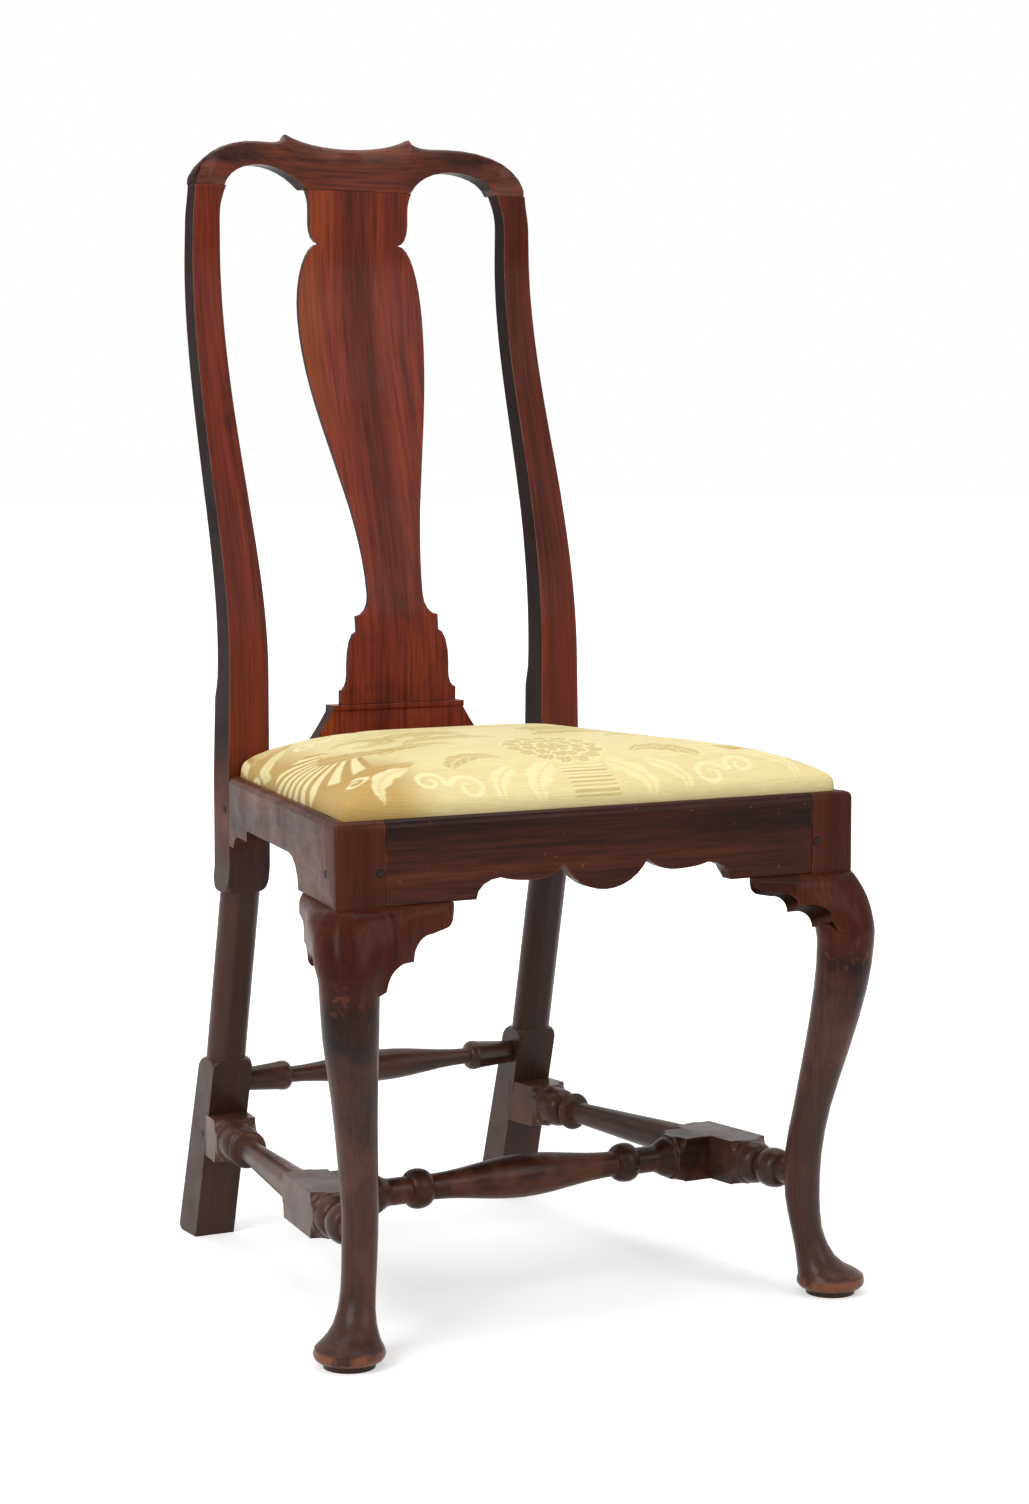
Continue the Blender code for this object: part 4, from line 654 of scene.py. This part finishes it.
def rear_post(side):
    """Raked square foot, turned length, square seat joint and the crooked upper length."""
    sign = -1 if side == "left" else 1
    square = POST_OUTER
    rows = [(HEEL_ROUND * step / 5, square) for step in range(6)]
    low, high = TURNED
    rows += profile((low - 0.011, 0.0262), (low, 0.0185, "leaves"), (low + 0.0005, TURNED_RADIUS, "line"),
                    (high, TURNED_RADIUS, "line"), (high + 0.0005, 0.0190, "line"),
                    (high + 0.015, 0.0264, "arrives"))
    rows += [(RAKE_FROM, square), (RAIL_TOP, square)]
    rows += [(z, square) for z in np.linspace(CHAMFER_FROM, CROOK[1], 45)]
    rows += [(z, square) for z in np.linspace(CROOK[1], POST_TOP, 17)[1:]]
    return tube([[(sign * x, y, z) for x, y, z in post_ring(*row, POST_BOW[side])] for row in rows])


# Knees: the brackets carry the knee's curve on, and let it die towards their tips

RAIL_BOTTOM = 0.3733
JOINT = 0.0275
REACH = 0.105
TOP_ROUND = 0.012
KNEE_PROUD = 0.015
CORNER_PROUD = 0.0175
CORNER_ROUND = 0.029
CORNER_PLAN = 0.010
CORNER_STEPS = 22
TIP_PROUD = 0.0055
MOST_PROUD = 0.0195
KNEE_ROWS = 22
KNEE_SMOOTHING = 42
COVES = (0.0358, 0.0637)
COVE_WIDE = 0.0186
COVE_HIGH = 0.0215
NOSE = 0.094
BRACKET_CUT = {"left": (1.0, 0.95, 0.72), "right": (0.72, 0.74, 0.72)}


def share_of(start, wide, value):
    return min(1.0, max(0.0, (value - start) / wide))


def bracket_depth(distance):
    """Lower edge of a bracket: foot, cove, step, cove, flat and nose."""
    depth = 0.068 - 0.0035 * share_of(0.0823, 0.0127, distance)
    for start in COVES:
        depth -= COVE_HIGH * math.sqrt(1 - (1 - share_of(start, COVE_WIDE, distance)) ** 2)
    return depth - 0.0145 * (1 - math.sqrt(1 - share_of(NOSE, REACH - NOSE, distance) ** 2))


def knee_stations():
    """Distance from the corner, place and outward direction, from the front tip to the side tip."""
    distances = set(np.linspace(0, REACH, 71).round(5))
    for start in (*COVES, NOSE):
        distances |= {start + step for step in (-0.0003, 0.0001, 0.0004, 0.0009, 0.0016)}
    distances = sorted(distances)
    corner = Vector((FRAME_HALF, FRAME_FRONT, 0))
    heading = Vector((-FRAME_SLOPE, 1, 0)).normalized()
    out = Vector((heading.y, -heading.x, 0))
    turn = math.pi / 2 + math.atan(FRAME_SLOPE)
    start = CORNER_PLAN * math.tan(turn / 2)
    straight = [d for d in distances if d > start + 0.0005]
    centre = corner + Vector((-start, CORNER_PLAN, 0))
    stations = [(d, corner - Vector((d, 0, 0)), Vector((0, -1, 0))) for d in reversed(straight)]
    for step in range(CORNER_STEPS + 1):
        angle = -math.pi / 2 + step / CORNER_STEPS * turn
        way = Vector((math.cos(angle), math.sin(angle), 0))
        stations.append((start * abs(1 - 2 * step / CORNER_STEPS), centre + way * CORNER_PLAN, way))
    return stations + [(d, corner + heading * d, out) for d in straight]


def knee_shapes(leg, cut):
    """Sections of a right leg's front bracket, knee and side bracket.

    cut: shares of the full depth of the front bracket, of its front arris and of the side bracket.
    """
    surface = BVHTree.FromBMesh(leg)

    def leg_out(place, out, z):
        start = place + out * 0.08 + Vector((0, 0, z))
        hit = surface.ray_cast(start, -out, 0.10)
        return 0.08 - hit[3] if hit[0] is not None else -0.02

    stations = knee_stations()
    middle = len(stations) // 2
    shares = np.linspace(0, 1, KNEE_ROWS + 1) ** 1.4
    depth = np.array([bracket_depth(d) for d, place, out in stations])
    depth *= [1 - (1 - cut[0 if i < middle else 2]) * smooth_step(0.0, JOINT, d)
              for i, (d, place, out) in enumerate(stations)]
    face = depth * np.array([1 - (1 - cut[1]) * smooth_step(JOINT, JOINT + 0.012, d) if i < middle else 1.0
                             for i, (d, place, out) in enumerate(stations)])
    proud = np.zeros((len(stations), len(shares)))
    least = np.zeros_like(proud)
    for i, (d, place, out) in enumerate(stations):
        tip = math.sqrt(1 - share_of(NOSE, REACH - NOSE, d) ** 2)
        bulge = TIP_PROUD + (KNEE_PROUD - TIP_PROUD) * (1 - smooth_step(0.02, 0.10, d))
        bulge *= 0.15 + 0.85 * tip
        turn = min(TOP_ROUND, face[i] / 2)
        knee = d < JOINT
        toward = Vector((-0.020, 0, 0)) if i < middle else Vector((-FRAME_SLOPE, 1, 0)).normalized() * 0.020
        joint = Vector((FRAME_HALF, FRAME_FRONT, 0)) + toward
        weight = 1 - smooth_step(0.020, 0.075, d)
        for j, share in enumerate(shares):
            down = face[i] * share
            z = RAIL_BOTTOM - down
            own = bulge * math.sqrt(1 - (1 - min(1.0, down / turn)) ** 2)
            corner = CORNER_PROUD * math.sin(math.pi / 2 * min(1.0, down / CORNER_ROUND))
            own = corner + (own - corner) * smooth_step(0.0, JOINT, d)
            near = 1 - smooth_step(0.029, 0.036, d)
            own *= 1 - near * smooth_step(0.040, 0.064, down)
            skin = 0.0005 - 0.0030 * max(0.0, share - 0.8) / 0.2
            least[i, j] = leg_out(place, out, z) + skin if knee else -0.02
            carry = leg_out(joint, out, z) if d >= 0.020 else 0.0
            proud[i, j] = max(own, least[i, j], own + weight * max(0.0, carry - own))
            if not knee:
                sunk = max(-0.008, leg_out(place, out, z))
                proud[i, j] = min(proud[i, j], MOST_PROUD)
                proud[i, j] += min(0.0, sunk - proud[i, j]) * near * smooth_step(0.040, 0.058, down)
    around = np.array([1 - smooth_step(0.018, 0.045, d) for d, place, out in stations])[1:-1, None]
    for again in range(KNEE_SMOOTHING):
        beside = proud.copy()
        share = np.maximum(around, again < 6)
        beside[1:-1] += share * (proud[:-2] - 2 * proud[1:-1] + proud[2:]) / 4
        if again % 6 == 0:
            beside[:, 1:-1] = (beside[:, :-2] + 2 * beside[:, 1:-1] + beside[:, 2:]) / 4
        proud = np.maximum(beside, least)
        proud[:, 0] = 0.0
    rings = []
    for i, (d, place, out) in enumerate(stations):
        back = place - out * (0.012 - 0.008 * smooth_step(JOINT, REACH, d))
        ring = [place + out * proud[i, j] + Vector((0, 0, RAIL_BOTTOM - face[i] * share))
                for j, share in enumerate(shares)]
        rings.append(ring + [back + Vector((0, 0, z)) for z in (RAIL_BOTTOM - depth[i], RAIL_BOTTOM)])
    return rings


def mirrored(rings, side):
    return rings if side == "right" else [[(-p.x, p.y, p.z) for p in ring] for ring in rings]


for side in ("left", "right"):
    remade(side + "_rear_post", rear_post(side), post_looks[side], 0.0015)
    remade(side + "_side_stretcher", side_stretcher(side), side_stretcher_look, 0.0012)
    remade(side + "_front_leg", round_topped(side + "_front_leg"), leg_looks[side])
    right_leg = welded("right_front_leg")
    knee = tube(mirrored(knee_shapes(right_leg, BRACKET_CUT[side]), side))
    right_leg.free()
    brackets = [side + "_front_knee_bracket", side + "_side_knee_bracket"]
    eased(shown(side + "_knee_brackets", knee, leg_looks[side], "chair_frame", brackets),
          0.0008)
remade("medial_stretcher", medial_stretcher(), medial_stretcher_look)

# Slip seat: the cover is swelled by a cloth run over the crowned stuffing, then its damask is drawn

SEAT_FOOT = 0.4290
LIP_TOP = 0.4425
COVER_OUT = 0.0014
VOXEL = 0.004
SMOOTHING = 12
SMOOTHED_IN = 1.0105
SHOULDER = 0.0024
SHOULDER_RISE = (LIP_TOP, 0.4530)
SHOULDER_FALL = (0.4580, 0.4750)
FLATTENED = 0.0042
FLATTENED_SPAN = (0.4680, 0.4920)
CLOTH_THICK = 0.0010
SWELL_FRAMES = 16
SWELL_CAP = 0.0015
TURNED_UNDER = 0.024
SEAT_HALF = 0.2354
SEAT_SLANT = 0.184
SEAT_FRONT = -0.2264
CROWN_MIDDLE = -0.043
CROWN_TOP = 0.491
CROWN_EDGE = 0.453
REPEAT = 0.250


def applied(piece):
    """The piece's mesh with its modifiers in it, in their place."""
    graph = bpy.context.evaluated_depsgraph_get()
    mesh = bpy.data.meshes.new_from_object(piece.evaluated_get(graph))
    piece.modifiers.clear()
    old = piece.data
    piece.data = mesh
    bpy.data.meshes.remove(old)


def places(mesh):
    points = np.empty(len(mesh.vertices) * 3)
    mesh.vertices.foreach_get("co", points)
    return points.reshape(-1, 3)


def stuffed():
    """A closed block under the crown of the stuffing, as wide as the cover."""
    shape = bmesh.new()
    shape.from_mesh(nodes["hair_stuffing"].data)
    bmesh.ops.remove_doubles(shape, verts=shape.verts, dist=2e-5)
    shape.normal_update()
    foot = min(vert.co.z for vert in shape.verts) + 1e-4
    for vert in shape.verts:
        out = vert.normal * COVER_OUT
        if vert.co.z < foot:
            flat = Vector((out.x, out.y, 0))
            vert.co += flat.normalized() * COVER_OUT if flat.length > 0 else flat
            vert.co.z = SEAT_FOOT
        else:
            vert.co += out
    return shape


def swelled(piece):
    """Runs the cloth with a little pressure, held where it is inside the seat frame."""
    start = places(piece.data)
    held = piece.vertex_groups.new(name="held")
    held.add([i for i, point in enumerate(start) if point[2] < LIP_TOP], 1.0, "REPLACE")
    cloth = piece.modifiers.new("cloth", "CLOTH")
    cloth.settings.quality = 5
    cloth.settings.vertex_group_mass = "held"
    cloth.settings.use_pressure = True
    cloth.settings.uniform_pressure_force = 4
    cloth.settings.tension_stiffness = 12
    cloth.settings.compression_stiffness = 12
    cloth.settings.bending_stiffness = 0.4
    cloth.settings.effector_weights.gravity = 0
    scene = bpy.context.scene
    for step in range(1, SWELL_FRAMES + 1):
        scene.frame_set(step)
    applied(piece)
    scene.frame_set(1)
    piece.vertex_groups.clear()
    moved = (places(piece.data) - start) * smooth_step(LIP_TOP, LIP_TOP + 0.022, start[:, 2:])
    far = np.linalg.norm(moved, axis=1, keepdims=True)
    capped = start + moved * np.minimum(1.0, SWELL_CAP / np.maximum(far, 1e-9))
    piece.data.vertices.foreach_set("co", capped.ravel())
    piece.data.update()


def open_below(piece):
    """Takes out the bottom, up to the strip that is turned under the slats."""
    corners = places(piece.data)
    low, high = corners.min(0), corners.max(0)
    front = low[1] + TURNED_UNDER
    rear = high[1] - TURNED_UNDER - 0.014
    wide_front = high[0] - TURNED_UNDER
    wide_rear = corners[corners[:, 1] > high[1] - 0.03][:, 0].max() - TURNED_UNDER
    shape = bmesh.new()
    shape.from_mesh(piece.data)
    gone = []
    for face in shape.faces:
        middle = face.calc_center_median()
        along = (middle.y - front) / (rear - front)
        reach = wide_front + (wide_rear - wide_front) * along
        below = face.normal.z < -0.7 and middle.z < SEAT_FOOT + 0.003
        if below and 0 < along < 1 and abs(middle.x) < reach:
            gone.append(face)
    bmesh.ops.delete(shape, geom=gone, context="FACES")
    shape.to_mesh(piece.data)
    shape.free()
    piece.data.shade_smooth()


def scroll(x, y, start, turn, first, last, growth):
    """Points of a curl that opens out from a centre: angles in turns, radii in metres."""
    t = np.linspace(0, 1, 48)
    angle = 2 * np.pi * (start + turn * t)
    radius = first + (last - first) * t ** growth
    return np.stack([x + radius * np.cos(angle), y + radius * np.sin(angle)], 1)


def curve(*points):
    """A smooth line through a few points."""
    keys = np.array(points, float)
    place = np.linspace(0, 1, len(keys))
    fine = np.linspace(0, 1, 48)
    degree = min(3, len(keys) - 1)
    return np.stack([np.polyval(np.polyfit(place, keys[:, i], degree), fine) for i in (0, 1)], 1)


def along(points, spine):
    """For each point: distance from the spine, share of the way along it, and side."""
    best = np.full(len(points), 1e9)
    share = np.zeros(len(points))
    side = np.zeros(len(points))
    steps = len(spine) - 1
    for i in range(steps):
        a, b = spine[i], spine[i + 1]
        run = b - a
        t = np.clip(((points - a) @ run) / max(run @ run, 1e-12), 0, 1)
        gap = points - a - t[:, None] * run
        distance = np.linalg.norm(gap, axis=1)
        nearer = distance < best
        best = np.where(nearer, distance, best)
        share = np.where(nearer, (i + t) / steps, share)
        side = np.where(nearer, np.sign(run[0] * gap[:, 1] - run[1] * gap[:, 0]), side)
    return best, share, side


def leaf(points, spine, width, lobes, ribs=True):
    """A lobed leaf along a spine: 1 on it, less along its rib and veins."""
    distance, share, side = along(points, spine)
    body = width * np.sin(np.pi * np.clip(share, 0.02, 1) ** 0.75) ** 0.8
    edge = body * (0.72 + 0.28 * np.abs(np.sin(np.pi * lobes * share + 0.4 * side)))
    edge = np.where((share <= 0.001) | (share >= 0.999), 0.0, edge)
    figure = 1 - smooth_step(edge - 0.0008, edge + 0.0008, distance)
    if ribs:
        rib = 1 - smooth_step(0.0006, 0.0016, distance)
        vein = np.abs(np.sin(np.pi * lobes * (share + distance / (4 * width)) + 0.4 * side))
        veins = (1 - smooth_step(0.10, 0.28, vein)) * smooth_step(0.001, 0.004, distance)
        figure = figure * (1 - 0.65 * np.maximum(rib, veins))
    return figure


def spread(points):
    """Places on the flat cloth of points on the crown, with its slopes and edges laid out."""
    x, y, z = points.T
    half = SEAT_HALF - SEAT_SLANT * (y - SEAT_FRONT)
    beside = np.clip(np.abs(x) / half, 1e-3, 1) ** 6
    ahead = np.clip((CROWN_MIDDLE - y) / (CROWN_MIDDLE - SEAT_FRONT), 0, 1) ** 6
    extra = 0.30 * np.clip(CROWN_TOP - z, 0, None) + 0.7 * np.clip(CROWN_EDGE - z, 0, None)
    front = ahead / (ahead + beside)
    return np.abs(x) + extra * (1 - front), y - extra * front


def stroke(points, spine, half):
    """A drawn line that thins towards its end."""
    distance, share, side = along(points, spine)
    wide = half * (1 - 0.55 * share)
    return 1 - smooth_step(wide - 0.0007, wide + 0.0007, distance)


def medallion(u, v):
    """A flower of three rings of petals: light outlines on a middle tone."""
    radius = np.hypot(u / 0.046, v / 0.050)
    angle = np.arctan2(v / 0.050, u / 0.046)
    tone = np.full(len(u), 0.46)
    for outer, inner, count, turn in ((0.97, 0.66, 14, 0.0), (0.66, 0.36, 10, 0.3), (0.36, 0.12, 6, 0.1)):
        wave = np.abs(np.cos(count * angle / 2 + turn))
        rim = np.abs(radius - outer * (0.84 + 0.16 * wave))
        spoke = (wave < 0.16) & (radius > inner) & (radius < outer * 0.9)
        ribs = 0.5 + 0.5 * np.cos(count * angle * 3.5)
        ring = (radius > inner * 0.95) & (radius < outer * (0.84 + 0.16 * wave))
        tone = np.where(ring, 0.34 + 0.32 * ribs, tone)
        tone = np.where((rim < 0.035) | spoke, 0.02, tone)
    edge = 0.97 * (0.84 + 0.16 * np.abs(np.cos(7 * angle)))
    return tone, 1 - smooth_step(edge - 0.01, edge + 0.02, radius)


def damask(points):
    """Tone of the damask, alike left and right but for painted shade on the left slope: 0 is the bright
    satin, 1 the dull gold.
    """
    u, v = spread(points)
    v = (v + REPEAT) % REPEAT - REPEAT
    flat = np.stack([u, v], 1)
    edge = -0.188 - 0.006 * np.abs(np.sin(u * 120))
    front = 1 - smooth_step(edge - 0.002, edge + 0.002, v)
    net = 0.5 + 0.25 * np.sign(np.sin(u * 2 * np.pi / 0.0032)) * np.sign(np.sin(v * 2 * np.pi / 0.0032))
    tone = 0.18 + front * (0.02 + 0.12 * net)
    leaves = [
        (curve((0.178, -0.020), (0.172, -0.062), (0.140, -0.092), (0.098, -0.112)), 0.015, 7, 0.80),
        (curve((0.150, -0.118), (0.128, -0.098), (0.100, -0.094), (0.070, -0.112)), 0.012, 5, 0.65),
        (curve((0.215, -0.120), (0.204, -0.158), (0.178, -0.178), (0.142, -0.170)), 0.016, 6, 0.85),
        (curve((0.120, -0.195), (0.104, -0.172), (0.080, -0.164), (0.060, -0.178)), 0.011, 5, 0.60),
        (curve((0.020, -0.080), (0.052, -0.062), (0.088, -0.064), (0.112, -0.090)), 0.013, 6, 0.60),
        (curve((0.030, -0.030), (0.062, -0.018), (0.100, -0.026), (0.130, -0.050)), 0.013, 6, 0.62),
        (scroll(0.128, -0.036, 0.10, 0.95, 0.034, 0.009, 0.8), 0.010, 5, 0.66),
        (scroll(0.062, -0.048, 0.60, -0.90, 0.026, 0.007, 0.8), 0.008, 4, 0.55),
    ]
    for spine, width, lobes, depth in leaves:
        mask = leaf(flat, spine, width, lobes)
        tone = np.maximum(tone, depth * mask)
    # Painted shade: the left slope of the seat is pushed towards the dull gold
    tone = tone + 0.92 * smooth_step(0.138, 0.190, -points[:, 0]) * (1 - tone)
    # A striped fan that falls over each side
    fan_u, fan_v = u - 0.148, v + 0.060
    reach = np.hypot(fan_u, fan_v)
    turn = np.arctan2(fan_v, fan_u)
    inside = 1 - smooth_step(0.104, 0.110, reach + 0.006 * np.sin(turn * 14))
    inside = smooth_step(0.034, 0.038, reach) * inside * (np.abs(turn) < 1.25)
    ribs = smooth_step(-0.25, 0.35, np.sin(turn * 26 + 30 * reach))
    tone = tone * (1 - inside) + inside * (0.06 + 0.90 * ribs)
    # Bells, a ladder and curls along the front, light on the netted ground
    for spine, width in ((curve((0.026, -0.190), (0.040, -0.204), (0.052, -0.222), (0.050, -0.246)), 0.013),
                         (curve((0.062, -0.196), (0.076, -0.204), (0.088, -0.222), (0.086, -0.240)), 0.009),
                         (curve((0.160, -0.188), (0.182, -0.196), (0.198, -0.212), (0.200, -0.234)), 0.010)):
        mask = leaf(flat, spine, width, 3, ribs=False)
        distance, share, side = along(flat, spine)
        rib = 0.25 * (1 - smooth_step(0.0006, 0.0016, distance))
        tone = tone * (1 - 0.85 * mask) + 0.85 * mask * (0.02 + rib)
    ladder = ((u < 0.022) & (v < -0.198) & (v > -0.238)) * 1.0
    bars = smooth_step(-0.2, 0.3, np.sin(v * 2 * np.pi / 0.0052))
    tone = tone * (1 - ladder) + ladder * (0.06 + 0.62 * bars)
    for spine in (scroll(0.116, -0.222, 0.05, 1.25, 0.017, 0.004, 0.9),
                  scroll(0.150, -0.212, 0.55, -1.20, 0.015, 0.004, 0.9),
                  scroll(0.212, -0.190, 0.30, 1.10, 0.013, 0.004, 0.9)):
        tone = tone * (1 - stroke(flat, spine, 0.0030))
    flower, inside = medallion(u, v + 0.146)
    return tone * (1 - inside) + inside * flower


def silk():
    tree = Tree(bpy.data.materials.new("damask"))
    figure = tree.add("ShaderNodeAttribute", attribute_name="figure").outputs["Fac"]
    plain = tree.mapped((1, 1, 1))
    cloud = tree.noise(plain, 14.0, 3.0, 0.55)
    ground = tree.mix(cloud, rgb((0.840, 0.722, 0.362)), rgb((0.890, 0.795, 0.450)))
    raised = tree.mix(cloud, rgb((0.455, 0.275, 0.070)), rgb((0.540, 0.350, 0.105)))
    colour = tree.mix(figure, ground, raised)
    slubs = tree.noise(tree.mapped((0.06, 1, 1)), 900.0, 2.0, 0.5)
    colour = tree.mix(0.5, colour, tree.ramp(slubs, (0.36, 0.82), (0.60, 1.0)), "MULTIPLY")
    own = tree.add("ShaderNodeSeparateXYZ", {"Vector": plain})
    # Painted shade: the cover is darkened along its lower edge, where it turns under
    painted_edge_shade = tree.span(own.outputs["Z"], 0.4440, 0.4560, 0.62, 1.0)
    tree.put("Base Color", tree.mix(0.45, colour, painted_edge_shade, "MULTIPLY"))
    tree.put("Roughness", tree.span(figure, 0.0, 1.0, 0.46, 0.62))
    tree.put("Specular IOR Level", 0.12)
    tree.put("Sheen Weight", 0.04)
    tree.put("Sheen Roughness", 0.4)
    weft = tree.add("ShaderNodeTexWave", {"Vector": plain, "Scale": 520.0, "Distortion": 0.6, "Detail": 1.0},
                    wave_type="BANDS", bands_direction="Y").outputs["Fac"]
    pucker = tree.noise(plain, 26.0, 2.0, 0.5)
    height = tree.math("ADD", tree.math("MULTIPLY", weft, 0.10), tree.math("MULTIPLY", figure, 0.16))
    tree.bump(tree.math("ADD", height, tree.math("MULTIPLY", pucker, 1.1)), 0.35, 0.0012)
    return tree.owner


def seat():
    piece = shown("seat_cushion", stuffed(), silk(), "slip_seat", ["seat_cover", "hair_stuffing"])
    remesh = piece.modifiers.new("even", "REMESH")
    remesh.mode = "VOXEL"
    remesh.voxel_size = VOXEL
    smooth = piece.modifiers.new("smooth", "SMOOTH")
    smooth.factor = 0.5
    smooth.iterations = SMOOTHING
    applied(piece)
    swelled(piece)
    open_below(piece)
    evened = piece.modifiers.new("evened", "SMOOTH")
    evened.factor = 0.5
    evened.iterations = 4
    finer = piece.modifiers.new("finer", "SUBSURF")
    finer.levels = finer.render_levels = 1
    applied(piece)
    points = places(piece.data) * (SMOOTHED_IN, SMOOTHED_IN, 1)
    height = points[:, 2]
    shoulder = smooth_step(*SHOULDER_RISE, height) * (1 - smooth_step(*SHOULDER_FALL, height))
    points[:, 2] += SHOULDER * shoulder - FLATTENED * smooth_step(*FLATTENED_SPAN, height)
    piece.data.vertices.foreach_set("co", points.ravel())
    piece.data.shade_smooth()
    # The figure attribute also carries the painted shade on the seat's left slope
    figure = piece.data.attributes.new("figure", "FLOAT", "POINT")
    figure.data.foreach_set("value", damask(places(piece.data)).astype(np.float32))
    thick = piece.modifiers.new("cloth", "SOLIDIFY")
    thick.thickness = CLOTH_THICK
    thick.offset = -1


seat()

# Webbing and underlay, seen from below


def woven(name, first, second, threads):
    tree = Tree(bpy.data.materials.new(name))
    plain = tree.mapped((1, 1, 1))
    over, under = (tree.add("ShaderNodeTexWave", {"Vector": plain, "Scale": threads, "Distortion": 1.0},
                            wave_type="BANDS", bands_direction=way).outputs["Fac"] for way in "XY")
    weave = tree.math("MULTIPLY", over, under)
    cloud = tree.noise(plain, 60.0, 3.0, 0.6)
    share = tree.math("ADD", tree.math("MULTIPLY", weave, 0.6), tree.math("MULTIPLY", cloud, 0.4))
    tree.put("Base Color", tree.mix(share, rgb(first), rgb(second)))
    tree.put("Roughness", 0.92)
    tree.bump(weave, 0.5, 0.0006)
    return tree.owner


web_look = woven("webbing", (0.230, 0.160, 0.085), (0.480, 0.370, 0.220), 300.0)
hessian_look = woven("hessian", (0.270, 0.190, 0.095), (0.520, 0.400, 0.230), 190.0)
for count in ("1", "2", "3"):
    flat("web_lengthwise_" + count, web_look)
    flat("web_crosswise_" + count, web_look)
flat("hessian_underlay", hessian_look)

# Camera of the photograph

YAW = math.radians(28.63)
PITCH = 0.1
FOCAL = 3181.8 / 1504
SENSOR = 36
CAMERA = Vector((-1.317, -2.48991, 0.7495))

forward = Vector((math.sin(YAW) * math.cos(PITCH), math.cos(YAW) * math.cos(PITCH), -math.sin(PITCH)))
right = Vector((math.cos(YAW), -math.sin(YAW), 0))
up = right.cross(forward)
camera = bpy.data.objects.new("camera", bpy.data.cameras.new("camera"))
camera.data.sensor_width = SENSOR
camera.data.lens = FOCAL * SENSOR
camera.matrix_world = Matrix.Translation(CAMERA) @ Matrix((right, up, -forward)).transposed().to_4x4()
bpy.context.scene.collection.objects.link(camera)
bpy.context.scene.camera = camera

# Floor, world and lamps

FLOOR = 30
AMBIENT = 0.42
WHITE = rgb((1, 1, 1))


def seen_directly(tree):
    """One where the camera sees a surface straight, in a gloss or through glass."""
    path = tree.add("ShaderNodeLightPath")
    seen = tree.math("MAXIMUM", path.outputs["Is Camera Ray"], path.outputs["Is Glossy Ray"])
    return tree.math("MAXIMUM", seen, path.outputs["Is Transmission Ray"])


floor_mesh = bpy.data.meshes.new("floor")
floor_mesh.from_pydata([(-FLOOR, -FLOOR, 0), (FLOOR, -FLOOR, 0), (FLOOR, FLOOR, 0), (-FLOOR, FLOOR, 0)], [],
                       [(0, 1, 2, 3)])
floor = bpy.data.objects.new("floor", floor_mesh)
bpy.context.scene.collection.objects.link(floor)
floor_tree = Tree(bpy.data.materials.new("floor"))
floor_tree.put("Base Color", rgb((0.86, 0.86, 0.86)))
floor_tree.put("Roughness", 0.9)
floor_tree.put("Specular IOR Level", 0.1)
floor_tree.put("Emission Color", WHITE)
far = floor_tree.add("ShaderNodeVectorMath", {0: floor_tree.mapped((1, 1, 1))}, operation="LENGTH")
# Painted shade: the floor glows less within about 1.9 m of the middle, so it is greyer around the chair
glow = floor_tree.span(far.outputs["Value"], 0.5, 1.9, AMBIENT, 1.0)
floor_tree.put("Emission Strength", floor_tree.math("MULTIPLY", seen_directly(floor_tree), glow))
floor_mesh.materials.append(floor_tree.owner)

world = bpy.data.worlds.new("studio")
bpy.context.scene.world = world
studio = Tree(world, "Background")
studio.put("Color", WHITE)
studio.put("Strength", studio.span(seen_directly(studio), 0.0, 1.0, AMBIENT, 1.0))


def lamp(name, place, target, size, power):
    made = bpy.data.objects.new(name, bpy.data.lights.new(name, "AREA"))
    made.data.shape = "RECTANGLE"
    made.data.size, made.data.size_y = size
    made.data.energy = power
    made.location = place
    made.rotation_euler = (Vector(target) - Vector(place)).to_track_quat("-Z", "Y").to_euler()
    bpy.context.scene.collection.objects.link(made)


lamp("key", (-2.6, -1.1, 2.1), (0, 0, 0.5), (1.6, 1.6), 58)
lamp("fill", (1.6, -3.2, 2.2), (0, 0, 0.5), (2.0, 2.0), 38)
lamp("top", (0.2, 0.3, 3.0), (0, 0, 0.4), (2.2, 2.2), 34)

bpy.context.scene.view_settings.view_transform = "Standard"
